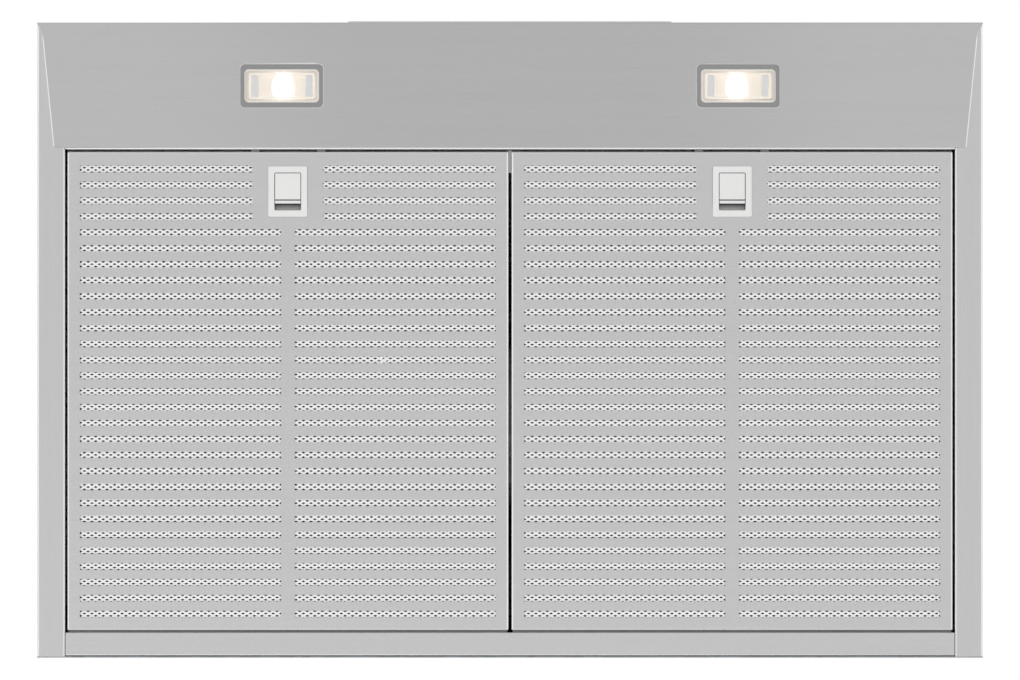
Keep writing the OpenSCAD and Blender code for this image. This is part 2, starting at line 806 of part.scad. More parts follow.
// Screw positions that hold the top plate down on the canopy
module plate_holes(bottom, top, r) {
    for (x = [-1, 1], y = [18, chimney_depth - 18])
        translate([x * (seat_width / 2 - top_flange + 8), -y, 0]) run_z(bottom, top) circle(r);
}

// Screw positions that hold the scroll under the top plate
module scroll_holes(bottom, top, r) {
    for (x = [-1, 1], y = [-0.3, 0.3])
        translate([x * (side_x + 6), collar_y + y * outlet_depth, 0]) run_z(bottom, top) circle(r);
}

module top_plate() hung(galvanised) {
    front = -chimney_depth + 8;
    rear = -8;
    outlet_front = collar_y - outlet_depth / 2;
    difference() {
        union() {
            translate([-plate_x, front, canopy_height]) cube([2 * plate_x, rear - front, plate]);
            for (x = [-plate_x, plate_x - plate])
                translate([x, front + 12, canopy_height])
                    cube([plate, rear - front - 24, plate_flange]);
        }
        translate([-scroll_half, outlet_front, canopy_height - eps])
            cube([2 * scroll_half, outlet_depth, plate + 2 * eps]);
        plate_holes(canopy_height - eps, collar_z + eps, 2.2);
        scroll_holes(canopy_height - eps, collar_z + eps, 2.2);
        translate([gland_x, gland_y, canopy_height - eps])
            cylinder(r = 10.2, h = plate + 2 * eps);
        chimney_holes(2.05);
    }
}

// Screws through the lower cover into the top plate's side flanges
module chimney_holes(r) {
    for (y = [60, chimney_depth - 60])
        translate([-chimney_width / 2 - eps, -y, collar_z + 10])
            rotate([0, 90, 0]) cylinder(r = r, h = chimney_width + 2 * eps);
}

module duct_collar() hung(galvanised) {
    flange_r = collar_r + 17;
    stop = 2.5;
    inside = collar_r - collar_wall;
    translate([0, collar_y, collar_z])
        difference() {
            union() {
                rotate_extrude($fn = 96)
                    polygon([
                        [inside, 0], [flange_r, 0], [flange_r, collar_wall],
                        [collar_r, collar_wall], [collar_r, collar_height],
                        [inside, collar_height], [inside, damper_z - flap_sheet / 2 - 0.2],
                        [inside - stop, damper_z - flap_sheet / 2 - 0.2],
                        [inside - stop, damper_z - flap_sheet / 2 - 1.4],
                        [inside, damper_z - flap_sheet / 2 - 1.4]
                    ]);
            }
            translate([-collar_r - eps, 0, damper_z])
                rotate([0, 90, 0]) cylinder(r = damper_rod_r + 0.02, h = 2 * (collar_r + eps));
            translate([0, -collar_y, -collar_z]) scroll_holes(collar_z - eps, collar_z + 3, 2.2);
        }
}

module damper_rod() hung(bright_steel) {
    translate([-collar_r + 0.3, collar_y, rod_z])
        rotate([0, 90, 0]) cylinder(r = damper_rod_r, h = 2 * collar_r - 0.6);
}

// Half disc with two knuckles around the rod, on the front or the rear side
module flap(side) {
    knuckle_r = damper_rod_r + 1.2;
    flap_r = collar_r - collar_wall - 0.7;
    knuckle = 22;
    spacing = 46;
    shift = side * 12;
    translate([0, collar_y, rod_z])
        difference() {
            union() {
                run_z(-flap_sheet / 2, flap_sheet / 2)
                    intersection() {
                        circle(flap_r, $fn = 96);
                        translate([-flap_r, side > 0 ? knuckle_r + 0.5 : -flap_r])
                            square([2 * flap_r, flap_r - knuckle_r - 0.5]);
                    }
                for (x = [-1, 1])
                    translate([shift + x * spacing / 2 - knuckle / 2, 0, 0]) {
                        rotate([0, 90, 0]) cylinder(r = knuckle_r, h = knuckle);
                        translate([0, side > 0 ? 0 : -knuckle_r - 1, -flap_sheet / 2])
                            cube([knuckle, knuckle_r + 1, flap_sheet]);
                    }
            }
            translate([-flap_r, 0, 0])
                rotate([0, 90, 0]) cylinder(r = damper_rod_r + 0.08, h = 2 * flap_r);
        }
}

module flap_front() hung(bright_steel) flap(-1);

module flap_rear() hung(bright_steel) flap(1);

// Scroll in section, in Y and Z about the wheel's axis, grown outwards by e
module scroll_region(e) {
    s = scroll_step / 2;
    r1 = scroll_r + s;
    r2 = r1 + scroll_step;
    r3 = r2 + scroll_step;
    top = wheel_drop;
    translate([-s, -s])
        intersection() {
            circle(r1 + e, $fn = 96);
            translate([-r1 - e, 0]) square(r1 + e);
        }
    translate([s, -s])
        intersection() {
            circle(r2 + e, $fn = 96);
            translate([-r2 - e, -r2 - e]) square(r2 + e);
        }
    translate([s, s])
        intersection() {
            circle(r3 + e, $fn = 96);
            translate([0, -r3 - e]) square(r3 + e);
        }
    translate([-s, -s]) square(2 * s);
    translate([-s - e, s]) square([r3 + 2 * s + 2 * e, top - s]);
}

module scroll_band() hung(galvanised) {
    lap = 12;
    translate([0, wheel_y, wheel_z]) {
        run_x(2 * scroll_half)
            difference() {
                scroll_region(scroll_sheet);
                scroll_region(0);
            }
        for (y = [-scroll_step / 2 - scroll_sheet - lap, outlet_depth - scroll_step / 2])
            translate([-scroll_half, y, wheel_drop - scroll_sheet])
                cube([2 * scroll_half, lap + scroll_sheet, scroll_sheet]);
    }
}

// One side of the scroll, drawn on the right: sheet, rolled inlet and top flange
module scroll_side(side) {
    inlet_r = wheel_r - 8;
    roll = 6;
    mirror([side < 0 ? 1 : 0, 0, 0])
        translate([0, wheel_y, wheel_z]) {
            difference() {
                translate([scroll_half + scroll_sheet / 2, 0, 0]) run_x(scroll_sheet)
                    difference() {
                        scroll_region(scroll_flange);
                        circle(inlet_r + roll, $fn = 96);
                    }
                translate([0, 0, wheel_drop]) cube([4 * scroll_half, 4 * wheel_r, eps], center = true);
                bracket_holes(1.4);
            }
            translate([side_x, 0, 0]) rotate([0, -90, 0])
                rotate_extrude($fn = 96)
                    translate([inlet_r + roll, roll])
                        intersection() {
                            difference() {
                                circle(roll);
                                circle(roll - scroll_sheet);
                            }
                            translate([-roll, -roll]) square(roll);
                        }
            difference() {
                translate([side_x - eps, -scroll_step / 2 - scroll_flange, wheel_drop - scroll_sheet])
                    cube([11 + eps, outlet_depth + 2 * scroll_flange, scroll_sheet]);
                translate([0, -wheel_y, -wheel_z])
                    scroll_holes(canopy_height - 5, canopy_height + eps, 1.7);
            }
        }
}

module scroll_side_left() hung(galvanised) scroll_side(-1);

module scroll_side_right() hung(galvanised) scroll_side(1);

// One forward curved blade in section
module blade() {
    inner_r = wheel_r - blade_depth;
    thick = 0.8;
    intersection() {
        difference() {
            circle(wheel_r - 0.5, $fn = 96);
            circle(inner_r, $fn = 96);
        }
        translate([wheel_r - blade_depth / 2 - 3, blade_curve - 2])
            difference() {
                circle(blade_curve);
                circle(blade_curve - thick);
            }
        translate([inner_r - 1, -blade_depth]) square([blade_depth + 2, blade_depth + 6]);
    }
}

module blower_wheel() hung("#8c9094") {
    ring = 3;
    hub_r = 13;
    translate([0, wheel_y, wheel_z]) {
        run_x(2 * wheel_half)
            for (i = [0 : blades - 1]) rotate(i * 360 / blades) blade();
        for (x = [-1, 1])
            translate([x * (wheel_half - ring / 2), 0, 0])
                run_x(ring)
                    difference() {
                        circle(wheel_r, $fn = 96);
                        circle(wheel_r - 6, $fn = 96);
                    }
        difference() {
            union() {
                translate([disc_x, 0, 0]) run_x(1.5)
                    difference() {
                        circle(wheel_r - 1, $fn = 96);
                        for (a = [0 : 60 : 300]) rotate(a) translate([38, 0]) circle(9);
                    }
                translate([disc_x, 0, 0]) run_x(22) circle(hub_r);
            }
            translate([disc_x, 0, 0]) run_x(40) circle(shaft_r + 0.01);
        }
    }
}

module motor_shaft() hung(bright_steel) {
    translate([-20, wheel_y, wheel_z])
        rotate([0, 90, 0]) cylinder(r = shaft_r, h = disc_x + 20 + 15);
}

// Motor can, end bells and bearing bosses as a turned form, with cooling openings
module motor() hung("#5d6165") {
    rear = -side_x;
    front = disc_x - 15;
    length = front - rear;
    translate([rear, wheel_y, wheel_z])
        rotate([0, 90, 0])
            difference() {
                rotate_extrude($fn = 96)
                    polygon([
                        [0, 0], [24, 0], [26, 4], [motor_r - 6, 10], [motor_r, 16],
                        [motor_r, 30], [motor_r - 2, 30], [motor_r - 2, length - 26],
                        [motor_r, length - 26], [motor_r, length - 12],
                        [motor_r - 8, length - 6], [16, length - 3], [16, length], [0, length]
                    ]);
                translate([0, 0, length - 24]) cylinder(r = shaft_r + bearing_gap, h = 25);
                for (a = [0 : 45 : 315])
                    rotate(a) translate([motor_r - 14, 0, length - 10]) cylinder(r = 4, h = 12);
                motor_screw_holes(0, 12);
            }
}

// Screw holes in the rear of the motor
module motor_screw_holes(start, depth) {
    for (a = [30, 150, 270])
        rotate(a) translate([17, 0, start - eps]) cylinder(r = 2.05, h = depth + eps);
}

// Screw holes on the ring of the motor bracket, in the wheel's own frame
module bracket_holes(r) {
    for (a = [90, 210, 330])
        rotate([a, 0, 0]) translate([-2 * scroll_half, 0, wheel_r + 4])
            rotate([0, 90, 0]) cylinder(r = r, h = 4 * scroll_half);
}

module motor_bracket() hung(galvanised) {
    ring_r = wheel_r + 9;
    translate([-side_x - plate, wheel_y, wheel_z])
        difference() {
            rotate([0, 90, 0]) linear_extrude(plate) {
                difference() {
                    circle(ring_r, $fn = 96);
                    circle(wheel_r - 1, $fn = 96);
                }
                circle(30);
                for (a = [0, 120, 240])
                    rotate(a) translate([20, -7]) square([wheel_r - 18, 14]);
            }
            rotate([0, 90, 0]) motor_screw_holes(-1, 5);
            bracket_holes(1.7);
        }
}

module motor_screws() hung(bright_steel) {
    head = 2.4;
    translate([-side_x - plate, wheel_y, wheel_z])
        rotate([0, 90, 0])
            for (a = [30, 150, 270])
                rotate(a) translate([17, 0, 0]) {
                    translate([0, 0, -head]) cylinder(r = 3.6, h = head);
                    cylinder(r = 2, h = 9);
                }
    translate([-side_x - plate, wheel_y, wheel_z])
        for (a = [90, 210, 330])
            rotate([a, 0, 0]) rotate([0, 90, 0])
                translate([-wheel_r - 4, 0, 0]) {
                    translate([0, 0, -head]) cylinder(r = 3, h = head);
                    cylinder(r = 1.35, h = 6);
                }
}

module plate_screws() hung(bright_steel) {
    head = 2.2;
    plate_holes(collar_z, collar_z + head, 3.6);
    plate_holes(collar_z - 6, collar_z, 1.65);
    scroll_holes(collar_z + collar_wall, collar_z + collar_wall + head, 3.6);
    scroll_holes(collar_z - 7, collar_z + collar_wall, 1.65);
}

module chimney_screws() hung(bright_steel) {
    head = 2;
    inset = 60;
    for (side = [0, 1], y = [inset, chimney_depth - inset])
        mirror([side, 0, 0])
            translate([chimney_width / 2, -y, collar_z + 10])
                rotate([0, 90, 0]) {
                    cylinder(r = 3.8, h = head);
                    translate([0, 0, -8]) cylinder(r = 2, h = 8 + eps);
                }
}

// Chimney cover in plan, open towards the wall
module cover_region(w, front, rear, r) {
    translate([-w / 2, -front + r]) square([w, front - rear - r]);
    translate([-w / 2 + r, -front]) square([w - 2 * r, r + eps]);
    for (x = [-1, 1])
        translate([x * (w / 2 - r), -front + r]) circle(r);
}

module cover_plan(w, front, rear) {
    difference() {
        cover_region(w, front, rear, fold_r);
        cover_region(w - 2 * sheet, front - sheet, rear + sheet, fold_r - sheet);
        translate([-w / 2 + chimney_return, -rear - 2 * sheet])
            square([w - 2 * chimney_return, 3 * sheet]);
    }
}

module chimney_lower() hung(steel) {
    difference() {
        run_z(canopy_height, canopy_height + lower_height)
            cover_plan(chimney_width, chimney_depth, 0);
        chimney_holes(2.2);
    }
}

module chimney_upper() hung(steel) {
    shrink = sheet + chimney_gap;
    w = chimney_width - 2 * shrink;
    top = upper_z + upper_height;
    slot = 60;
    difference() {
        run_z(upper_z, top) cover_plan(w, chimney_depth - shrink, shrink);
        translate([-w / 2 + sheet, -shrink - sheet - 3, top - bracket_height - 14])
            cube([w - 2 * sheet, sheet + 4, bracket_height + 15]);
        for (i = [0 : vent_slots - 1])
            translate([0, -chimney_depth / 2, top - 60 - i * 10])
                rotate([90, 0, 90])
                    translate([0, 0, -w]) linear_extrude(2 * w) round_rect(slot, 4, 1.9);
        bracket_ear_holes(2.2);
    }
}

// Screw holes that join the bracket's ears to the upper cover
module bracket_ear_holes(r) {
    translate([-chimney_width, -40, bracket_z + bracket_height / 2])
        rotate([0, 90, 0]) cylinder(r = r, h = 2 * chimney_width);
}

module wall_bracket() hung(galvanised) {
    half = chimney_width / 2 - 2 * sheet - chimney_gap - fit_gap;
    ear = 56;
    hole_x = 90;
    difference() {
        union() {
            translate([-half, -plate, bracket_z]) cube([2 * half, plate, bracket_height]);
            for (x = [-half, half - plate])
                translate([x, -ear, bracket_z]) cube([plate, ear, bracket_height]);
        }
        for (x = [-hole_x, hole_x])
            translate([x, eps, bracket_z + bracket_height / 2])
                rotate([90, 0, 0]) cylinder(r = 3, h = plate + 2 * eps);
        bracket_ear_holes(2.05);
    }
}

module electrical_box() hung(galvanised) {
    knockout_r = 8;
    translate([box_x, -sheet - box_d, box_z])
        difference() {
            translate([-box_w / 2, 0, 0]) cube([box_w, box_d, box_h]);
            translate([-box_w / 2 + box_wall, -eps, box_wall])
                cube([box_w - 2 * box_wall, box_d - box_wall + eps, box_h - 2 * box_wall]);
            for (i = [-1 : 1])
                translate([i * box_w / 4, box_d / 2, -eps])
                    cylinder(r = knockout_r, h = box_wall + 2 * eps);
        }
}

// Lid with a lip that fits inside the box and five vents
module electrical_lid() hung(galvanised) {
    lip = 2;
    lip_depth = 3.8;
    translate([box_x, -sheet - box_d, box_z])
        difference() {
            union() {
                translate([-box_w / 2, -lid_sheet, 0]) cube([box_w, lid_sheet, box_h]);
                translate([-box_w / 2 + lip, -lid_sheet, lip])
                    cube([box_w - 2 * lip, lid_sheet + lip_depth, box_h - 2 * lip]);
            }
            translate([-box_w / 2 + lip + lid_sheet, 0, lip + lid_sheet])
                cube([
                    box_w - 2 * (lip + lid_sheet), lip_depth + eps, box_h - 2 * (lip + lid_sheet)
                ]);
            for (i = [-2 : 2])
                translate([i * box_w / 9, 0, box_h / 2]) cube([4, 8, box_h / 2], center = true);
        }
}

// Can with two blade terminals on a saddle that stands on the back panel
module capacitor() hung(light_plastic) {
    saddle = 18;
    blade_length = 9;
    translate([can_x, -sheet - can_r - 3, can_z]) {
        rotate([0, 90, 0])
            rotate_extrude()
                polygon([
                    [0, 0], [can_r - 2, 0], [can_r, 2], [can_r, can_length],
                    [can_r - 3, can_length + 2], [0, can_length + 2]
                ]);
        for (y = [-6, 4])
            translate([can_length, y, -1]) cube([blade_length, 2, 4]);
        translate([(can_length - saddle) / 2, 0, -can_r - 6])
            cube([saddle, can_r + 3, 2 * can_r + 12]);
    }
}

module cable_gland() hung(dark_plastic) {
    translate([gland_x, gland_y, 0])
        difference() {
            union() {
                run_z(collar_z, collar_z + 6) circle(r = 14, $fn = 6);
                run_z(collar_z + 6 - eps, collar_z + 16) circle(r = 11);
                run_z(canopy_height - 6, collar_z + eps) circle(r = 10);
                run_z(canopy_height - 6, canopy_height - face_gap) circle(r = 14, $fn = 6);
            }
            run_z(canopy_height - 7, collar_z + 17) circle(r = 4.5);
        }
}

canopy_shell();
front_panel();
back_panel();
rear_rail();
top_plate();
duct_collar();
damper_rod();
flap_front();
flap_rear();
scroll_band();
scroll_side_left();
scroll_side_right();
blower_wheel();
motor_shaft();
motor();
motor_bracket();
motor_screws();
capacitor();
electrical_box();
electrical_lid();
cable_gland();
control_strip();
button_carrier();
control_board();
button(-2);  // button_1
button(-1);  // button_2
button(0);  // button_3
button(1);  // button_4
button(2);  // button_5
lamp_trim(-1);  // lamp_trim_left
lamp_trim(1);  // lamp_trim_right
lamp_lens(-1);  // lamp_lens_left
lamp_lens(1);  // lamp_lens_right
lamp_reflector(-1);  // lamp_reflector_left
lamp_reflector(1);  // lamp_reflector_right
lamp_can(-1);  // lamp_can_left
lamp_can(1);  // lamp_can_right
lamp_led(-1);  // lamp_led_left
lamp_led(1);  // lamp_led_right
chimney_lower();
chimney_upper();
wall_bracket();
plate_screws();
chimney_screws();
filter_face(-1);  // filter_face_left
filter_face(1);  // filter_face_right
filter_mesh(-1);  // filter_mesh_left
filter_mesh(1);  // filter_mesh_right
filter_back(-1);  // filter_back_left
filter_back(1);  // filter_back_right
filter_hook(-1);  // filter_hook_left
filter_hook(1);  // filter_hook_right
latch_bezel(-1);  // latch_bezel_left
latch_bezel(1);  // latch_bezel_right
latch_pad(-1);  // latch_pad_left
latch_pad(1);  // latch_pad_right
latch_yoke(-1);  // latch_yoke_left
latch_yoke(1);  // latch_yoke_right
latch_spring(-1);  // latch_spring_left
latch_spring(1);  // latch_spring_right
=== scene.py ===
"""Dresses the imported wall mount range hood: sheet steel, filters, lamps, latches, controls and stage.

Everything is in metres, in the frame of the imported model: the origin is the middle of the wall screws,
+Y points into the wall and +Z is up. The rim of the hood lies 140 mm below the origin.
"""

import math

import bpy
from bpy.props import FloatProperty, FloatVectorProperty, PointerProperty
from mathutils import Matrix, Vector


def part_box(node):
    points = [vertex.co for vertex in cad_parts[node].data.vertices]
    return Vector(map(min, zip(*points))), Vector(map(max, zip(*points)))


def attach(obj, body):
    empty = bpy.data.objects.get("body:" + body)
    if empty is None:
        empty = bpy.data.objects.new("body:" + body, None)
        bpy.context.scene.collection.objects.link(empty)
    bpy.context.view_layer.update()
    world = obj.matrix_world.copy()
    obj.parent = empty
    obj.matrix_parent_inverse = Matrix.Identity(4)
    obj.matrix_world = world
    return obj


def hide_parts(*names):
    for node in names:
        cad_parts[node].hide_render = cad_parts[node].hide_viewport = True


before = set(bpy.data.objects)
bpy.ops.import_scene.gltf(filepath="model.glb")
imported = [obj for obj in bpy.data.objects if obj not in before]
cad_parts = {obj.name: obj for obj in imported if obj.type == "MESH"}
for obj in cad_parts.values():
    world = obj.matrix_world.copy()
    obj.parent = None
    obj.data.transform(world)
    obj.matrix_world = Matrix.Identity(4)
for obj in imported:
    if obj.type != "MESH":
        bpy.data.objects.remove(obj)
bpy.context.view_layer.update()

bl_info = {
    "name": "Range hood dressing",
    "version": (1, 0, 0),
    "blender": (4, 5, 0),
    "location": "3D View > Sidebar > Range hood",
    "description": "Finishes and fine pieces of a wall mount range hood",
    "category": "Object",
}

MM = 0.001
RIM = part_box("front_panel")[0].z
SIDES = {"left": -1, "right": 1}
# Level of the finger pads' faces, 0.3 mm above their lips
PAD_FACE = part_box("latch_pad_left")[0].z + 0.3 * MM


# Colour and node helpers

def linear(code):
    """Linear colour of an sRGB hex code."""
    parts = [int(code[i:i + 2], 16) / 255 for i in (1, 3, 5)]
    return [c / 12.92 if c <= 0.04045 else ((c + 0.055) / 1.055) ** 2.4 for c in parts]


def add_node(tree, kind, inputs=None, **settings):
    """Adds one node, sets its options, and sets or links its inputs."""
    node = tree.nodes.new(kind)
    for name, value in settings.items():
        setattr(node, name, value)
    for name, value in (inputs or {}).items():
        if isinstance(value, bpy.types.NodeSocket):
            tree.links.new(value, node.inputs[name])
        else:
            node.inputs[name].default_value = value
    return node


def new_material(name, **sockets):
    """A material with one Principled shader, whose plain sockets are set here."""
    material = bpy.data.materials.new(name)
    material.use_nodes = True
    tree = material.node_tree
    tree.nodes.clear()
    shader = add_node(tree, "ShaderNodeBsdfPrincipled", {
        key.replace("_", " ").title().replace("Ior", "IOR"): value for key, value in sockets.items()
    })
    add_node(tree, "ShaderNodeOutputMaterial", {"Surface": shader.outputs["BSDF"]})
    return material, tree, shader


def rgba(colour):
    """Four numbers for a colour socket."""
    return (*colour[:3], 1.0)


def shade(colour, factor):
    """The same colour, lighter or darker."""
    return tuple(min(1.0, c * factor) for c in colour[:3])


def colour_mix(tree, low, high, factor):
    """Mixes two colours by a factor socket."""
    mix = add_node(tree, "ShaderNodeMix", data_type="RGBA")
    mix.inputs["A"].default_value = rgba(low)
    mix.inputs["B"].default_value = rgba(high)
    tree.links.new(factor, mix.inputs["Factor"])
    return mix.outputs["Result"]


# Sizes and colours a user would change

class HoodFinish(bpy.types.PropertyGroup):
    steel: FloatVectorProperty(
        name="Stainless", description="Brushed stainless of the canopy, rail and chimney", subtype="COLOR",
        min=0, max=1, default=linear("#CACACA"))
    panel_steel: FloatVectorProperty(
        name="Light panel", description="Brushed stainless of the front panel, duller", subtype="COLOR",
        min=0, max=1, default=linear("#BABABA"))
    filter_steel: FloatVectorProperty(
        name="Filter sheet", description="Satin stainless of the filter pans", subtype="COLOR",
        min=0, max=1, default=linear("#CACACA"))
    zinc: FloatVectorProperty(
        name="Zinc coat", description="Galvanised inner sheets", subtype="COLOR",
        min=0, max=1, default=linear("#A9ADB0"))
    aluminium: FloatVectorProperty(
        name="Expanded aluminium", description="Filter mesh", subtype="COLOR",
        min=0, max=1, default=linear("#FCFCFC"))
    # The inner layer's dark grey is painted shade behind the first layer
    inner_aluminium: FloatVectorProperty(
        name="Inner layer", description="Duller expanded aluminium behind the first layer", subtype="COLOR",
        min=0, max=1, default=linear("#56585A"))
    plastic: FloatVectorProperty(
        name="Light plastic", description="Latches and capacitor", subtype="COLOR",
        min=0, max=1, default=linear("#EAEAE9"))
    dark_plastic: FloatVectorProperty(
        name="Black plastic", description="Buttons, carrier and gland", subtype="COLOR",
        min=0, max=1, default=linear("#26282A"))
    grain: FloatProperty(
        name="Grain spacing", description="Distance between brush lines", subtype="DISTANCE",
        default=0.8 * MM, min=0.2 * MM, max=3 * MM)


class HoodMesh(bpy.types.PropertyGroup):
    long_way: FloatProperty(
        name="Long way", description="Width of one diamond", subtype="DISTANCE",
        default=6.0 * MM, min=3 * MM, max=12 * MM)
    short_way: FloatProperty(
        name="Short way", description="Depth of one diamond", subtype="DISTANCE",
        default=3.65 * MM, min=2 * MM, max=8 * MM)
    strand: FloatProperty(
        name="Strand", description="Width of one strand", subtype="DISTANCE",
        default=1.65 * MM, min=0.4 * MM, max=2 * MM)
    layer_gap: FloatProperty(
        name="Layer gap", description="Height from one layer to the next", subtype="DISTANCE",
        default=1.2 * MM, min=1 * MM, max=4 * MM)


class HoodStage(bpy.types.PropertyGroup):
    distance: FloatProperty(
        name="Camera distance", description="From the rim down to the camera", subtype="DISTANCE",
        default=1.8, min=0.8, max=4)
    frame_width: FloatProperty(
        name="Frame width", description="Width of the view at the rim", subtype="DISTANCE",
        default=0.8086, min=0.5, max=2)
    floor_drop: FloatProperty(
        name="Floor", description="From the rim down to the floor", subtype="DISTANCE",
        default=1.55, min=0.5, max=4)


# Materials

def grain_coordinates(tree, along, across, direction):
    """Object coordinates stretched along brush lines that run in X, Y or Z, or as on the canopy."""
    place = add_node(tree, "ShaderNodeTexCoord").outputs["Object"]
    scales = {
        "x": (along, across, across), "y": (across, along, across), "z": (across, across, along),
    }
    if direction != "canopy":
        scaled = add_node(
            tree, "ShaderNodeVectorMath", {0: place, 1: scales[direction]}, operation="MULTIPLY")
        return scaled.outputs[0]
    # The side sheets and the flanges are brushed from front to back, the front slope from side to side
    normal = add_node(tree, "ShaderNodeNewGeometry").outputs["Normal"]
    sideways = add_node(tree, "ShaderNodeSeparateXYZ", {0: normal})
    steep = add_node(tree, "ShaderNodeMath", {0: sideways.outputs["X"]}, operation="ABSOLUTE")
    is_side = add_node(tree, "ShaderNodeMath", {0: steep.outputs[0], 1: 0.25}, operation="GREATER_THAN")
    is_flange = add_node(tree, "ShaderNodeMath", {0: sideways.outputs["Z"], 1: -0.9}, operation="LESS_THAN")
    either = add_node(
        tree, "ShaderNodeMath", {0: is_side.outputs[0], 1: is_flange.outputs[0]}, operation="MAXIMUM")
    ways = [
        add_node(tree, "ShaderNodeVectorMath", {0: place, 1: scales[key]}, operation="MULTIPLY").outputs[0]
        for key in ("x", "y")
    ]
    blend = add_node(
        tree, "ShaderNodeMix", {0: either.outputs[0], 4: ways[0], 5: ways[1]}, data_type="VECTOR")
    return blend.outputs[1]


def bend_highlight_level(tree, amount, rim):
    """How strong a painted highlight is on a sheet: 0 on the flat, up to the amount on folds and rounded
    edges that look down.

    A rim is a box in X and Y whose inside edge gets the painted highlight as well. The hood's front fold
    stays plain.
    Also gives 1 where a fold leans sideways more than lengthways."""
    down = add_node(
        tree, "ShaderNodeSeparateXYZ", {0: add_node(tree, "ShaderNodeNewGeometry").outputs["Normal"]})
    place = add_node(
        tree, "ShaderNodeSeparateXYZ", {0: add_node(tree, "ShaderNodeTexCoord").outputs["Object"]})
    # It grows where the sheet leans 10 to 22 degrees from facing down, and fades from 44 to 60 degrees
    starts = add_node(
        tree, "ShaderNodeMapRange", {0: down.outputs["Z"], 1: -0.985, 2: -0.93, 3: 0.0, 4: amount})
    ends = add_node(tree, "ShaderNodeMapRange", {0: down.outputs["Z"], 1: -0.72, 2: -0.5, 3: 1.0, 4: 0.0})
    fold_front, fold_rear = -0.5025, -0.4995
    front = add_node(
        tree, "ShaderNodeMapRange", {0: place.outputs["Y"], 1: fold_front, 2: fold_rear, 3: 0.0, 4: 1.0})
    level = starts
    for part in (ends, front):
        level = add_node(
            tree, "ShaderNodeMath", {0: level.outputs[0], 1: part.outputs[0]}, operation="MULTIPLY")
    if rim:
        flat = add_node(tree, "ShaderNodeMath", {0: down.outputs["Z"], 1: -0.9}, operation="LESS_THAN")
        # The side edges get far more painted highlight than the front and rear ones
        shares = (0.85, 0.1)
        for axis in (0, 1):
            middle, half = (rim[0][axis] + rim[1][axis]) / 2, (rim[1][axis] - rim[0][axis]) / 2
            away = add_node(
                tree, "ShaderNodeMath", {0: place.outputs[axis], 1: middle}, operation="SUBTRACT")
            away = add_node(tree, "ShaderNodeMath", {0: away.outputs[0]}, operation="ABSOLUTE")
            near = add_node(tree, "ShaderNodeMapRange", {
                0: away.outputs[0], 1: half - 1.5 * MM, 2: half - 1.2 * MM,
                3: 0.0, 4: amount * shares[axis]})
            inside = add_node(tree, "ShaderNodeMath", {0: away.outputs[0], 1: half}, operation="LESS_THAN")
            for part in (flat, inside):
                near = add_node(
                    tree, "ShaderNodeMath", {0: near.outputs[0], 1: part.outputs[0]}, operation="MULTIPLY")
            level = add_node(
                tree, "ShaderNodeMath", {0: level.outputs[0], 1: near.outputs[0]}, operation="MAXIMUM")
    lean = [
        add_node(tree, "ShaderNodeMath", {0: down.outputs[axis]}, operation="ABSOLUTE").outputs[0]
        for axis in "XY"
    ]
    sideways = add_node(tree, "ShaderNodeMath", {0: lean[0], 1: lean[1]}, operation="GREATER_THAN")
    return level.outputs[0], sideways.outputs[0]


def outer_shade_level(tree, half):
    """1 on the outermost 0.4 mm of the folds under the hood's two sides, where a thin line of painted shade
    is drawn.
    """
    place = add_node(
        tree, "ShaderNodeSeparateXYZ", {0: add_node(tree, "ShaderNodeTexCoord").outputs["Object"]})
    away = add_node(tree, "ShaderNodeMath", {0: place.outputs["X"]}, operation="ABSOLUTE")
    line = add_node(tree, "ShaderNodeMapRange", {0: away.outputs[0], 1: half - 0.5 * MM, 2: half - 0.4 * MM})
    low = add_node(tree, "ShaderNodeMapRange", {
        0: place.outputs["Z"], 1: RIM + 2.4 * MM, 2: RIM + 3 * MM, 3: 1.0, 4: 0.0})
    return add_node(
        tree, "ShaderNodeMath", {0: line.outputs[0], 1: low.outputs[0]}, operation="MULTIPLY").outputs[0]


def taper_highlight_level(tree, amount):
    """How strong the painted highlight is along the slanting ends of the light panel, in a line 0.7 mm wide
    along each of them.
    """
    place = add_node(
        tree, "ShaderNodeSeparateXYZ", {0: add_node(tree, "ShaderNodeTexCoord").outputs["Object"]})
    away = add_node(tree, "ShaderNodeMath", {0: place.outputs["X"]}, operation="ABSOLUTE")
    # Each end runs in from the front corner to the rear fold
    front_y, front_x = -496.4 * MM, 371.2 * MM
    rear_y, rear_x = -405 * MM, 362 * MM
    slant = add_node(tree, "ShaderNodeMapRange", {
        0: place.outputs["Y"], 1: front_y, 2: rear_y, 3: front_x, 4: rear_x})
    off = add_node(tree, "ShaderNodeMath", {0: away.outputs[0], 1: slant.outputs[0]}, operation="SUBTRACT")
    line = add_node(
        tree, "ShaderNodeMapRange", {0: off.outputs[0], 1: -1.0 * MM, 2: -0.7 * MM, 3: 0.0, 4: amount})
    # The line fades in behind the corner and stops at the fold
    fade_start, fade_end, line_end = -496 * MM, -490 * MM, -404.5 * MM
    along = add_node(tree, "ShaderNodeMapRange", {0: place.outputs["Y"], 1: fade_start, 2: fade_end})
    short = add_node(tree, "ShaderNodeMath", {0: place.outputs["Y"], 1: line_end}, operation="LESS_THAN")
    line = add_node(tree, "ShaderNodeMath", {0: line.outputs[0], 1: along.outputs[0]}, operation="MULTIPLY")
    return add_node(
        tree, "ShaderNodeMath", {0: line.outputs[0], 1: short.outputs[0]}, operation="MULTIPLY").outputs[0]


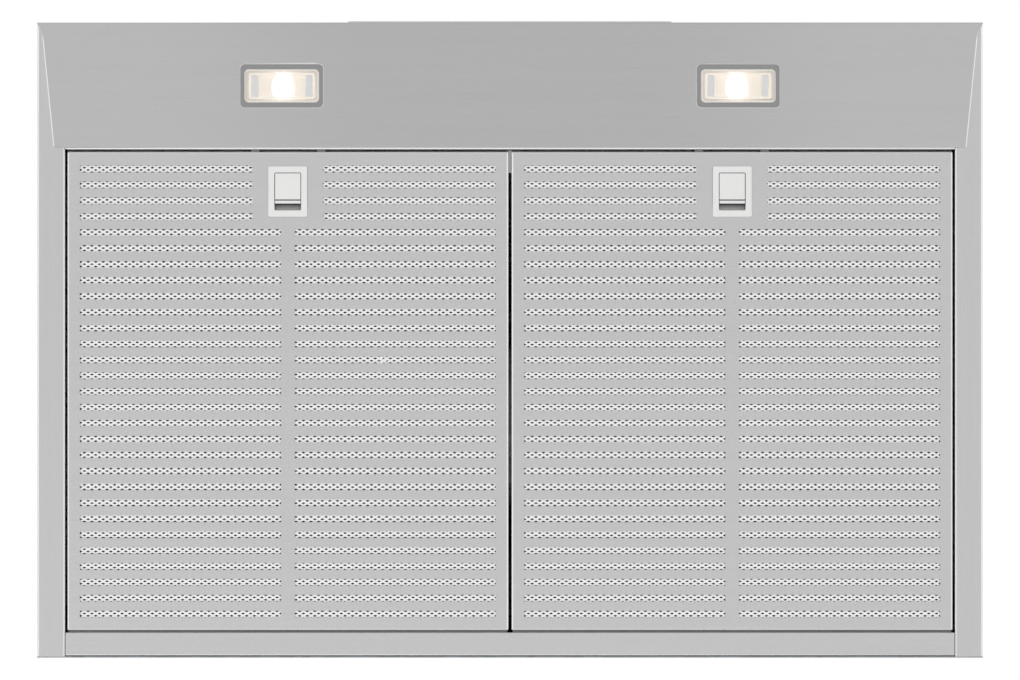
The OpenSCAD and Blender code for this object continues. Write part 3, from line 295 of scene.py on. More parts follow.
def brushed_stainless(name, colour, direction, roughness=0.3, bends=0.0, rim=None, taper=0.0, outer=None,
                      long_fold="#F6F6F6", ends=1.0):
    """Cold rolled stainless sheet, belt brushed one way, with a painted highlight where it bends.

    Folds from side to side can have a highlight tone of their own, and the ends of the sheet can be painted
    lighter."""
    grain = bpy.context.scene.hood_finish.grain
    material, tree, shader = new_material(name, metallic=1.0, roughness=roughness)
    # Brush lines 60 mm long, and broad bands 320 mm long and 11 lines wide
    fine = grain_coordinates(tree, 1 / (60 * MM), 1 / grain, direction)
    broad = grain_coordinates(tree, 1 / (320 * MM), 1 / (11 * grain), direction)
    lines = add_node(
        tree, "ShaderNodeTexNoise", {"Vector": fine, "Scale": 1.0, "Detail": 2.0, "Roughness": 0.6})
    bands = add_node(tree, "ShaderNodeTexNoise", {"Vector": broad, "Scale": 1.0, "Detail": 1.0})
    both = add_node(tree, "ShaderNodeMath", {0: lines.outputs[0], 1: bands.outputs[0]}, operation="ADD")
    level = add_node(tree, "ShaderNodeMapRange", {0: both.outputs[0], 1: 0.7, 2: 1.3, 3: 0.0, 4: 1.0})
    sheet = colour_mix(tree, shade(colour, 0.985), shade(colour, 1.015), level.outputs[0])
    # Painted light: the sheet is painted lighter towards its ends
    if ends != 1.0:
        place = add_node(
            tree, "ShaderNodeSeparateXYZ", {0: add_node(tree, "ShaderNodeTexCoord").outputs["Object"]})
        away = add_node(tree, "ShaderNodeMath", {0: place.outputs["X"]}, operation="ABSOLUTE")
        lift = add_node(tree, "ShaderNodeMapRange", {
            0: away.outputs[0], 1: 100 * MM, 2: 300 * MM, 3: 1.0, 4: ends}, interpolation_type="SMOOTHSTEP")
        sheet = add_node(
            tree, "ShaderNodeVectorMath", {0: sheet, 3: lift.outputs[0]}, operation="SCALE").outputs[0]
    if bends:
        bend, sideways = bend_highlight_level(tree, bends, rim)
        if taper:
            line = taper_highlight_level(tree, taper)
            bend = add_node(tree, "ShaderNodeMath", {0: bend, 1: line}, operation="MAXIMUM").outputs[0]
            sideways = add_node(
                tree, "ShaderNodeMath", {0: sideways, 1: line}, operation="MAXIMUM").outputs[0]
        # Painted highlight: folds and edges turn near white and lose most of their metal sheen
        painted_highlight = colour_mix(tree, linear(long_fold), linear("#F6F6F6"), sideways)
        sheet = add_node(tree, "ShaderNodeMix", {0: bend, 6: sheet, 7: painted_highlight}, data_type="RGBA").outputs[2]
        # A thin line of painted shade along the outermost edge of the side folds
        if outer:
            shaded_outline = add_node(tree, "ShaderNodeMix", {
                0: outer_shade_level(tree, outer), 6: sheet, 7: rgba(shade(colour, 0.3))}, data_type="RGBA")
            sheet = shaded_outline.outputs[2]
        highlight_metallic = add_node(tree, "ShaderNodeMapRange", {0: bend, 3: 1.0, 4: 0.3})
        tree.links.new(highlight_metallic.outputs[0], shader.inputs["Metallic"])
    tree.links.new(sheet, shader.inputs["Base Color"])
    gloss = add_node(tree, "ShaderNodeMapRange", {
        0: lines.outputs[0], 1: 0.3, 2: 0.7, 3: roughness - 0.03, 4: roughness + 0.04})
    tree.links.new(gloss.outputs[0], shader.inputs["Roughness"])
    bump = add_node(
        tree, "ShaderNodeBump", {"Height": lines.outputs[0], "Strength": 0.06, "Distance": 0.02 * MM})
    tree.links.new(bump.outputs[0], shader.inputs["Normal"])
    return material


def galvanised_sheet(colour):
    """Hot dip galvanised steel: zinc crystals of about 9 mm that each take the light differently."""
    material, tree, shader = new_material("galvanised_sheet", metallic=1.0, roughness=0.42)
    place = add_node(tree, "ShaderNodeTexCoord").outputs["Object"]
    crystals = add_node(tree, "ShaderNodeTexVoronoi", {"Vector": place, "Scale": 1 / (9 * MM)}, feature="F1")
    tone = add_node(tree, "ShaderNodeSeparateColor", {0: crystals.outputs["Color"]})
    tree.links.new(colour_mix(tree, shade(colour, 0.86), shade(colour, 1.1), tone.outputs[0]),
                   shader.inputs["Base Color"])
    gloss = add_node(tree, "ShaderNodeMapRange", {0: tone.outputs[1], 3: 0.34, 4: 0.5})
    tree.links.new(gloss.outputs[0], shader.inputs["Roughness"])
    return material


def moulded_plastic(name, colour, roughness, recess=None):
    """Injection moulded plastic: spark eroded tool texture of about 0.5 mm, an even satin sheen.

    Above the height of a recess it takes painted greys of the shadow in there, front grey first."""
    material, tree, shader = new_material(name, roughness=roughness, ior=1.53)
    place = add_node(tree, "ShaderNodeTexCoord").outputs["Object"]
    spark = add_node(tree, "ShaderNodeTexNoise", {"Vector": place, "Scale": 1 / (0.5 * MM), "Detail": 2.0})
    cloud = add_node(tree, "ShaderNodeTexNoise", {"Vector": place, "Scale": 1 / (25 * MM), "Detail": 1.0})
    face = colour_mix(tree, shade(colour, 0.98), shade(colour, 1.02), cloud.outputs[0])
    if recess is not None:
        height, front, rear, greys = recess
        place = add_node(tree, "ShaderNodeSeparateXYZ", {0: place})
        deep = add_node(
            tree, "ShaderNodeMapRange", {0: place.outputs["Z"], 1: height, 2: height + 0.15 * MM})
        along = add_node(tree, "ShaderNodeMapRange", {0: place.outputs["Y"], 1: front, 2: rear})
        shaded = colour_mix(tree, linear(greys[0]), linear(greys[1]), along.outputs[0])
        face = add_node(
            tree, "ShaderNodeMix", {0: deep.outputs[0], 6: face, 7: shaded}, data_type="RGBA").outputs[2]
    tree.links.new(face, shader.inputs["Base Color"])
    gloss = add_node(tree, "ShaderNodeMapRange", {
        0: spark.outputs[0], 1: 0.3, 2: 0.7, 3: roughness - 0.05, 4: roughness + 0.07})
    tree.links.new(gloss.outputs[0], shader.inputs["Roughness"])
    bump = add_node(tree, "ShaderNodeBump", {
        "Height": spark.outputs[0], "Strength": 0.3, "Distance": 0.02 * MM})
    tree.links.new(bump.outputs[0], shader.inputs["Normal"])
    return material


def plated_steel(name, colour, roughness):
    """Zinc or nickel plated steel: bright, with faint cloudy patches left by the bath."""
    material, tree, shader = new_material(name, metallic=1.0, roughness=roughness)
    place = add_node(tree, "ShaderNodeTexCoord").outputs["Object"]
    cloud = add_node(tree, "ShaderNodeTexNoise", {"Vector": place, "Scale": 1 / (4 * MM), "Detail": 3.0})
    tree.links.new(colour_mix(tree, shade(colour, 0.9), shade(colour, 1.06), cloud.outputs[0]),
                   shader.inputs["Base Color"])
    gloss = add_node(
        tree, "ShaderNodeMapRange", {0: cloud.outputs[0], 3: roughness - 0.06, 4: roughness + 0.1})
    tree.links.new(gloss.outputs[0], shader.inputs["Roughness"])
    return material


def expanded_aluminium(name, colour, metallic):
    """Slit and stretched aluminium foil, washed and etched pale, with faint blotches of about 2.4 mm."""
    material, tree, shader = new_material(name, metallic=metallic, roughness=0.42)
    place = add_node(tree, "ShaderNodeTexCoord").outputs["Object"]
    tone = add_node(tree, "ShaderNodeTexNoise", {"Vector": place, "Scale": 1 / (2.4 * MM), "Detail": 2.0})
    tree.links.new(colour_mix(tree, shade(colour, 0.92), shade(colour, 1.04), tone.outputs[0]),
                   shader.inputs["Base Color"])
    return material


def enamel(name, colour, roughness):
    """Stoved enamel on steel: even colour, faint orange peel of about 1.5 mm."""
    material, tree, shader = new_material(name, roughness=roughness, ior=1.5)
    place = add_node(tree, "ShaderNodeTexCoord").outputs["Object"]
    peel = add_node(tree, "ShaderNodeTexNoise", {"Vector": place, "Scale": 1 / (1.5 * MM), "Detail": 1.0})
    tree.links.new(colour_mix(tree, shade(colour, 0.95), shade(colour, 1.05), peel.outputs[0]),
                   shader.inputs["Base Color"])
    bump = add_node(
        tree, "ShaderNodeBump", {"Height": peel.outputs[0], "Strength": 0.2, "Distance": 0.03 * MM})
    tree.links.new(bump.outputs[0], shader.inputs["Normal"])
    return material


def lens_plastic():
    """Clear moulded polycarbonate, faintly warm, with the fine ripple of the mould."""
    material, tree, shader = new_material(
        "clear_polycarbonate", roughness=0.05, ior=1.585, transmission_weight=0.94)
    shader.inputs["Base Color"].default_value = rgba(linear("#FEFBF8"))
    place = add_node(tree, "ShaderNodeTexCoord").outputs["Object"]
    ripple = add_node(tree, "ShaderNodeTexNoise", {"Vector": place, "Scale": 1 / (1.2 * MM), "Detail": 2.0})
    gloss = add_node(tree, "ShaderNodeMapRange", {0: ripple.outputs[0], 3: 0.02, 4: 0.1})
    tree.links.new(gloss.outputs[0], shader.inputs["Roughness"])
    return material


def glow_from(tree, side, reach, middle, far):
    """A level that falls off from the middle of a lamp, faster sideways than front to rear."""
    place = add_node(tree, "ShaderNodeTexCoord").outputs["Object"]
    place = add_node(
        tree, "ShaderNodeVectorMath", {0: place, 1: tuple(lamp_centre(side))}, operation="SUBTRACT")
    oval = add_node(
        tree, "ShaderNodeVectorMath", {0: place.outputs[0], 1: (1.1, 0.82, 1.0)}, operation="MULTIPLY")
    away = add_node(tree, "ShaderNodeVectorMath", {0: oval.outputs[0]}, operation="LENGTH")
    level = add_node(tree, "ShaderNodeMapRange", {
        0: away.outputs["Value"], 1: 2 * MM, 2: reach, 3: middle, 4: far}, interpolation_type="SMOOTHERSTEP")
    return level.outputs[0]


def led_board(name, side):
    """White solder mask around a domed warm LED, which glows most at its middle; the glow spread over the
    mask is painted light.
    """
    material, tree, shader = new_material(name, roughness=0.5, emission_strength=1.0)
    shader.inputs["Base Color"].default_value = rgba(linear("#E0DEDA"))
    shader.inputs["Emission Color"].default_value = rgba(linear("#FFFAF4"))
    tree.links.new(glow_from(tree, side, 11.75 * MM, 5.0, 0.24), shader.inputs["Emission Strength"])
    return material


def lit_reflector(name, side):
    """Vacuum coated reflector, warm and pale, with the light of its LED painted on as a glow, a little
    darker at its ends.
    """
    material, tree, shader = new_material(name, roughness=0.3, emission_strength=1.0)
    shader.inputs["Base Color"].default_value = rgba(linear("#D2CFCA"))
    shader.inputs["Emission Color"].default_value = rgba(linear("#F6EDE2"))
    tree.links.new(glow_from(tree, side, 30 * MM, 0.7, 0.36), shader.inputs["Emission Strength"])
    return material


def frosted_glow(name, colour, strength):
    """Ground edge of a clear moulding, with the lamp's light it pipes painted on as a glow, so it looks
    nearly white.
    """
    material, tree, shader = new_material(name, roughness=0.45, emission_strength=strength)
    place = add_node(tree, "ShaderNodeTexCoord").outputs["Object"]
    grit = add_node(tree, "ShaderNodeTexNoise", {"Vector": place, "Scale": 1 / (0.8 * MM), "Detail": 2.0})
    tree.links.new(colour_mix(tree, shade(colour, 0.94), shade(colour, 1.05), grit.outputs[0]),
                   shader.inputs["Base Color"])
    shader.inputs["Emission Color"].default_value = rgba(colour)
    return material


def circuit_board():
    """Fibreglass board under green solder mask, with thin copper runs that show a little lighter."""
    material, tree, shader = new_material("green_circuit_board", roughness=0.35, ior=1.5)
    place = add_node(tree, "ShaderNodeTexCoord").outputs["Object"]
    runs = add_node(tree, "ShaderNodeTexBrick", {
        "Vector": place, "Scale": 1 / (12 * MM), "Mortar Size": 0.04,
        "Color1": rgba(linear("#1E6A3C")), "Color2": rgba(linear("#22703F")),
        "Mortar": rgba(linear("#3F9A5E"))})
    tree.links.new(runs.outputs["Color"], shader.inputs["Base Color"])
    return material


# Modelling helpers

def lamp_centre(side):
    """Middle of a lamp's LED board."""
    low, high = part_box("lamp_led_right" if side > 0 else "lamp_led_left")
    return (low + high) / 2


def dress(material, *names):
    """Gives CAD nodes their finish."""
    for name in names:
        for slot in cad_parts[name].material_slots:
            slot.material = material


def start_piece():
    """Leaves nothing selected before a new primitive is added."""
    if bpy.context.object and bpy.context.object.mode != "OBJECT":
        bpy.ops.object.mode_set(mode="OBJECT")
    bpy.ops.object.select_all(action="DESELECT")


def finish_piece(piece, name, body, material, angle=30):
    """Names a finished piece, puts its place in its mesh, shades it and lets it ride."""
    start_piece()
    bpy.context.view_layer.objects.active = piece
    piece.select_set(True)
    bpy.ops.object.transform_apply(location=True, rotation=True, scale=True)
    bpy.ops.object.shade_smooth_by_angle(angle=math.radians(angle))
    piece.name = name
    piece.data.name = name
    if material:
        piece.data.materials.clear()
        piece.data.materials.append(material)
    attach(piece, body)
    return piece


def apply_modifiers(piece):
    """Applies every modifier of a piece in order."""
    bpy.context.view_layer.objects.active = piece
    for modifier in list(piece.modifiers):
        bpy.ops.object.modifier_apply(modifier=modifier.name)


def array(piece, count, offset, merge=None):
    """Repeats a piece at a constant offset, with its doubles merged where asked."""
    modifier = piece.modifiers.new("Repeat", "ARRAY")
    modifier.count = count
    modifier.use_relative_offset = False
    modifier.use_constant_offset = True
    modifier.constant_offset_displace = offset
    if merge:
        modifier.use_merge_vertices = True
        modifier.merge_threshold = merge
    apply_modifiers(piece)


def weigh_edges(piece, angle, shortest):
    """Marks the sharp edges long enough to round. On the others a bevel throws corners out of the sheet."""
    bpy.ops.object.mode_set(mode="EDIT")
    bpy.ops.mesh.select_mode(type="EDGE")
    bpy.ops.mesh.select_all(action="DESELECT")
    bpy.ops.mesh.edges_select_sharp(sharpness=angle)
    bpy.ops.object.mode_set(mode="OBJECT")
    mesh = piece.data
    weights = mesh.attributes.new("bevel_weight_edge", "FLOAT", "EDGE")
    for edge in mesh.edges:
        first, last = (mesh.vertices[i].co for i in edge.vertices)
        if edge.select and (first - last).length > shortest:
            weights.data[edge.index].value = 1.0


def softened(node, name, body, material, width, segments=2, edge=None, clamp=True, shortest=None):
    """A merged copy of a CAD node with its sharp edges rounded, and where asked in a finish of their own."""
    start_piece()
    piece = bpy.data.objects.new(name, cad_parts[node].data.copy())
    bpy.context.scene.collection.objects.link(piece)
    bpy.context.view_layer.objects.active = piece
    piece.select_set(True)
    if piece.data.has_custom_normals:
        bpy.ops.mesh.customdata_custom_splitnormals_clear()
    bpy.ops.object.mode_set(mode="EDIT")
    bpy.ops.mesh.select_all(action="SELECT")
    bpy.ops.mesh.remove_doubles(threshold=0.005 * MM)
    bpy.ops.mesh.dissolve_limited(angle_limit=math.radians(0.5))
    bpy.ops.object.mode_set(mode="OBJECT")
    edges = piece.modifiers.new("Rounded edges", "BEVEL")
    edges.width = width
    edges.segments = segments
    edges.limit_method = "ANGLE"
    edges.angle_limit = math.radians(35)
    edges.use_clamp_overlap = clamp
    if shortest:
        weigh_edges(piece, edges.angle_limit, shortest)
        edges.limit_method = "WEIGHT"
    if edge:
        piece.data.materials.clear()
        piece.data.materials.append(material)
        piece.data.materials.append(edge)
        edges.material = 1
    apply_modifiers(piece)
    finish_piece(piece, name, body, None if edge else material)
    level = piece.modifiers.new("Even flats", "WEIGHTED_NORMAL")
    level.weight = 100
    level.keep_sharp = True
    apply_modifiers(piece)
    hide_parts(node)
    return piece


# Operators

class HOOD_OT_sheet_metal(bpy.types.Operator):
    """Brushed stainless on the outside, zinc coated sheet on the inside"""
    bl_idname = "hood.sheet_metal"
    bl_label = "Sheet metal"

    def execute(self, context):
        finish = context.scene.hood_finish
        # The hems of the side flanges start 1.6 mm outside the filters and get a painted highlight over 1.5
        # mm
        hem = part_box("filter_face_right")[1].x + 3.1 * MM
        # The box of the highlighted hems ends far in front of the hood and far behind it
        far = 9
        # The canopy's folds get painted highlights, and the outermost edge of its side folds a line of
        # painted shade
        canopy = brushed_stainless("brushed_stainless_canopy", finish.steel, "canopy", bends=0.6,
                                   rim=((-hem, -far), (hem, far)), outer=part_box("canopy_shell")[1].x)
        dress(canopy, "canopy_shell")
        # The light panel gets painted highlights on its folds and slanting ends, and its ends are painted 9
        # % lighter
        panel = brushed_stainless("brushed_stainless_panel", finish.panel_steel, "x", bends=0.95,
                                  taper=1.0, long_fold="#DCDCDC", ends=1.09)
        cross = brushed_stainless("brushed_stainless_cross", finish.steel, "x")
        softened("front_panel", "front_sheet", "hood", panel, 0.48 * MM,
                 clamp=False, shortest=1 * MM)
        softened("rear_rail", "rear_rail_sheet", "hood", cross, 0.3 * MM)
        softened("control_strip", "control_strip_sheet", "hood", cross, 0.35 * MM)
        chimney = brushed_stainless("brushed_stainless_chimney", finish.steel, "z")
        softened("chimney_lower", "chimney_lower_cover", "hood", chimney, 0.25 * MM)
        softened("chimney_upper", "chimney_upper_cover", "upper_cover", chimney, 0.25 * MM)
        # The filter pans get a painted highlight along their folds and edges
        for name in SIDES:
            dress(brushed_stainless("satin_stainless_filter_" + name, finish.filter_steel, "x", 0.36, 1.0,
                                    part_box("filter_face_" + name)), "filter_face_" + name)
        # The hooks' dark grey is partly their mill finish and partly painted shade of the gap they sit in
        dress(brushed_stainless("mill_finish_stainless_painted_shade", linear("#7C7C7C"), "x", 0.5),
              "filter_hook_left", "filter_hook_right")
        dress(galvanised_sheet(finish.zinc),
              "back_panel", "top_plate", "duct_collar", "flap_front", "flap_rear", "scroll_band",
              "scroll_side_left", "scroll_side_right", "motor_bracket", "electrical_box", "electrical_lid",
              "wall_bracket", "filter_back_left", "filter_back_right", "lamp_can_left", "lamp_can_right")
        dress(plated_steel("zinc_plated_steel", linear("#C9CBCC"), 0.26), "damper_rod", "motor_shaft",
              "latch_spring_left", "latch_spring_right")
        dress(plated_steel("spring_steel", linear("#8E9092"), 0.34), "latch_yoke_left", "latch_yoke_right")
        dress(plated_steel("zinc_dull_wheel", linear("#9EA2A5"), 0.4), "blower_wheel")
        dress(enamel("grey_stoved_enamel", linear("#55585C"), 0.4), "motor")
        return {"FINISHED"}


class HOOD_OT_filter_mesh(bpy.types.Operator):
    """Two layers of expanded aluminium in each filter pan, cut out around the latch"""
    bl_idname = "hood.filter_mesh"
    bl_label = "Filter mesh"

    def execute(self, context):
        mesh = context.scene.hood_mesh
        finish = context.scene.hood_finish
        materials = (
            expanded_aluminium("etched_expanded_aluminium", finish.aluminium, 0.15),
            # The second layer is the same aluminium, painted dark as shade
            expanded_aluminium("expanded_aluminium_painted_shade", finish.inner_aluminium, 0.7),
        )
        clearance = 0.4 * MM
        bezel_lap = 1.4 * MM
        # From a strand's middle to its flat underside and a trace more, as a share of its width
        under = 0.16
        # The second layer is moved by these shares of a diamond, and its strands are wider
        shift_x, shift_y = 0.31, 0.4
        widths = (1, 1.1)
        for name in SIDES:
            low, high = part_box("filter_mesh_" + name)
            bezel_low, bezel_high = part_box("latch_bezel_" + name)
            body_left = bezel_low.x + bezel_lap - clearance
            body_right = bezel_high.x - bezel_lap + clearance
            body_rear = bezel_high.y - bezel_lap + clearance
            for layer in (0, 1):
                z = low.z + mesh.strand * under + layer * mesh.layer_gap
                left = low.x + layer * shift_x * mesh.long_way
                front = low.y + layer * shift_y * mesh.short_way
                columns = int((high.x - left) / mesh.long_way)
                rows = int((high.y - front) / mesh.short_way)
                front_rows = math.ceil((body_rear - front) / mesh.short_way)
                left_columns = int((body_left - left) / mesh.long_way)
                right_start = math.ceil((body_right - left) / mesh.long_way)
                zones = (
                    (0, front_rows, columns, rows - front_rows),
                    (0, 0, left_columns, front_rows),
                    (right_start, 0, columns - right_start, front_rows),
                )
                parts = []
                for column, row, across, deep in zones:
                    corner = (left + column * mesh.long_way, front + row * mesh.short_way, z)
                    parts.append(lattice(mesh, mesh.strand * widths[layer], corner, across, deep))
                start_piece()
                for part in parts:
                    part.select_set(True)
                context.view_layer.objects.active = parts[0]
                bpy.ops.object.join()
                piece = finish_piece(parts[0], "expanded_mesh_%s_%d" % (name, layer + 1), "filter_" + name,
                                     materials[layer], 50)
                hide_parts("filter_mesh_" + name)
        return {"FINISHED"}


def lattice(mesh, width, corner, columns, rows):
    """A rectangle of expanded sheet: zigzag strands, flat below, that touch at every knuckle."""
    cell_x, cell_y = mesh.long_way, mesh.short_way
    overlap = 0.1 * width
    start_piece()
    bpy.ops.mesh.primitive_circle_add(vertices=3, radius=width / math.sqrt(3), fill_type="NOTHING",
                                      rotation=(0, math.pi / 2, 0))
    strand = bpy.context.object
    bpy.ops.object.transform_apply(location=False, rotation=True, scale=False)
    strand.rotation_euler = (math.pi / 2, 0, 0)
    bpy.ops.object.transform_apply(location=False, rotation=True, scale=False)
    bpy.ops.object.mode_set(mode="EDIT")
    bpy.ops.mesh.select_all(action="SELECT")
    bpy.ops.transform.resize(value=(1, 1, 0.5))
    bpy.ops.transform.translate(value=(0, overlap, 0))
    for way in (1, -1):
        bpy.ops.mesh.extrude_region_move(
            TRANSFORM_OT_translate={"value": (cell_x / 2, way * (cell_y / 2 - 2 * overlap), 0)})
    bpy.ops.object.mode_set(mode="OBJECT")
    array(strand, columns, (cell_x, 0, 0), 0.02 * MM)
    bpy.ops.object.mode_set(mode="EDIT")
    bpy.ops.mesh.select_all(action="DESELECT")
    bpy.ops.mesh.select_mode(type="EDGE")
    bpy.ops.mesh.select_non_manifold(extend=False, use_boundary=True, use_wire=False, use_multi_face=False,
                                     use_non_contiguous=False, use_verts=False)
    bpy.ops.mesh.fill_holes(sides=3)
    bpy.ops.mesh.select_all(action="SELECT")
    bpy.ops.mesh.normals_make_consistent(inside=False)
    bpy.ops.mesh.select_all(action="SELECT")
    bpy.ops.mesh.duplicate()
    bpy.ops.transform.resize(value=(1, -1, 1), center_override=(0, 0, 0))
    bpy.ops.transform.translate(value=(0, 0, 0.15 * MM))
    bpy.ops.mesh.select_all(action="SELECT")
    bpy.ops.mesh.normals_make_consistent(inside=False)
    bpy.ops.object.mode_set(mode="OBJECT")
    array(strand, rows, (0, cell_y, 0))
    strand.location = (corner[0], corner[1] + cell_y / 2, corner[2])
    return strand


class HOOD_OT_lamps(bpy.types.Operator):
    """Trim, lens with its edges in painted glow, reflector with its bars, and glowing LED of both lamps"""
    bl_idname = "hood.lamps"
    bl_label = "Lamps"

    def execute(self, context):
        # The trim's grey is painted shade in the lamp's well
        trim = enamel("grey_trim_painted_shade", linear("#8E8E8E"), 0.34)
        # The trim's rounded edges and the opening's rim are painted near white as a highlight
        outline = enamel("trim_edge_painted_highlight", linear("#F2F2F2"), 0.3)
        lens = lens_plastic()
        # The lens's edges and step, the corner pips and the reflector's end bars glow with painted light
        edge = frosted_glow("lens_edge_painted_glow", linear("#F6EFE6"), 0.25)
        step = frosted_glow("lens_step_painted_glow", linear("#FBF7F0"), 0.3)
        bar = frosted_glow("pale_grey_bar_painted_glow", linear("#D9DDDF"), 0.4)
        for name, side in SIDES.items():
            softened("lamp_trim_" + name, "lamp_frame_" + name, "hood", trim, 0.4 * MM, edge=outline,
                     clamp=False)
            softened("lamp_lens_" + name, "lamp_window_" + name, "hood", lens, 0.4 * MM, 3)
            dress(lit_reflector("cream_reflector_" + name, side), "lamp_reflector_" + name)
            dress(led_board("white_led_board_" + name, side), "lamp_led_" + name)
            low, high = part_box("lamp_lens_" + name)
            x, y = ((low + high) / 2)[:2]
            self.ring("lens_edge_" + name, (x, y, low.z + 0.3 * MM), size=(57.6 * MM, 24.8 * MM),
                      radius=2.4 * MM, wall=0.3 * MM, height=0.4 * MM, material=edge)
            self.ring("lens_step_" + name, (x, y, low.z + 0.02 * MM), size=(52.0 * MM, 19.9 * MM),
                      radius=1.8 * MM, wall=1.1 * MM, height=0.3 * MM, material=step)
            # The rolled edge of the panel's opening, 66.7 by 35.4 mm, fills the rounded rim of the sheet,
            # painted near white as a highlight
            self.ring("lamp_opening_rim_" + name, (x, y, RIM + 0.03 * MM), size=(67.6 * MM, 36.3 * MM),
                      radius=4.45 * MM, wall=0.55 * MM, height=0.3 * MM, material=outline)
            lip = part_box("lamp_reflector_" + name)[0].z
            for end in (-1, 1):
                self.block("lamp_bar_%s_%d" % (name, end + 2), (x + end * 21.4 * MM, y, lip),
                           size=(5.5 * MM, 16.6 * MM, 0.16 * MM), turn=0, material=bar)
                for way in (-1, 1):
                    self.block("lens_pip_%s_%d_%d" % (name, end + 2, way + 2),
                               (x + end * 20.7 * MM, y + way * 9.3 * MM, low.z + 0.2 * MM),
                               size=(2.2 * MM, 1.0 * MM, 0.3 * MM), turn=end * way * math.radians(-40),
                               material=step)
        return {"FINISHED"}

    def ring(self, name, place, size, radius, wall, height, material):
        """A flat rounded frame, drawn as a sheet, hollowed and raised."""
        start_piece()
        bpy.ops.mesh.primitive_plane_add(size=1, location=place)
        piece = bpy.context.object
        piece.scale = (size[0], size[1], 1)
        bpy.ops.object.transform_apply(location=False, rotation=False, scale=True)
        bpy.ops.object.mode_set(mode="EDIT")
        bpy.ops.mesh.select_all(action="SELECT")
        bpy.ops.mesh.bevel(offset=radius, segments=5, affect="VERTICES")
        bpy.ops.mesh.select_all(action="SELECT")
        bpy.ops.mesh.inset(thickness=wall, depth=0)
        bpy.ops.mesh.delete(type="FACE")
        bpy.ops.mesh.select_all(action="SELECT")
        bpy.ops.mesh.extrude_region_move(TRANSFORM_OT_translate={"value": (0, 0, height)})
        bpy.ops.mesh.select_all(action="SELECT")
        bpy.ops.mesh.normals_make_consistent(inside=False)
        bpy.ops.object.mode_set(mode="OBJECT")
        finish_piece(piece, name, "hood", material)

    def block(self, name, place, size, turn, material):
        """A small block with softened edges."""
        start_piece()
        bpy.ops.mesh.primitive_cube_add(size=1, location=place, rotation=(0, 0, turn))
        piece = bpy.context.object
        piece.scale = size
        bpy.ops.object.transform_apply(location=False, rotation=False, scale=True)
        bpy.ops.object.mode_set(mode="EDIT")
        bpy.ops.mesh.select_all(action="SELECT")
        bpy.ops.mesh.bevel(offset=0.05 * MM, segments=2, affect="EDGES")
        bpy.ops.object.mode_set(mode="OBJECT")
        finish_piece(piece, name, "hood", material)


class HOOD_OT_latches(bpy.types.Operator):
    """Bezel and finger pad of both filter latches"""
    bl_idname = "hood.latches"
    bl_label = "Latches"

    def execute(self, context):
        tone = context.scene.hood_finish.plastic
        plastic = moulded_plastic("pale_grey_abs", tone, 0.36)
        low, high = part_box("latch_bezel_left")
        # Painted shadow: above their faces the bezel and pad take dark greys, lighter towards the rear of
        # the finger recess
        rear = high.y - 5.5 * MM
        shadow = (rear - 5 * MM, rear, ("#161616", "#D4D4D4"))
        recessed = moulded_plastic("pale_grey_abs_bezel", tone, 0.36, (low.z + 0.05 * MM, *shadow))
        walled = moulded_plastic("pale_grey_abs_pad", tone, 0.36, (PAD_FACE + 0.1 * MM, *shadow))
        # The pad's rounded edges are painted near white as a highlight
        edge = moulded_plastic("abs_edge_painted_highlight", linear("#FCFCFC"), 0.2)
        dress(plastic, "capacitor")
        for name in SIDES:
            softened("latch_bezel_" + name, "latch_frame_" + name, "filter_" + name, recessed, 0.25 * MM,
                     clamp=False)
            softened("latch_pad_" + name, "latch_finger_pad_" + name, "latch_" + name, walled, 0.2 * MM,
                     edge=edge, clamp=False)
        return {"FINISHED"}


class HOOD_OT_controls(bpy.types.Operator):
    """Buttons, carrier and board behind the control strip"""
    bl_idname = "hood.controls"
    bl_label = "Controls"

    def execute(self, context):
        black = moulded_plastic("black_abs", context.scene.hood_finish.dark_plastic, 0.38)
        dress(black, "button_carrier", "cable_gland")
        for i in range(1, 6):
            softened("button_%d" % i, "button_cap_%d" % i, "push_button_%d" % i, black, 0.7 * MM,
                     3)
        dress(circuit_board(), "control_board")
        return {"FINISHED"}


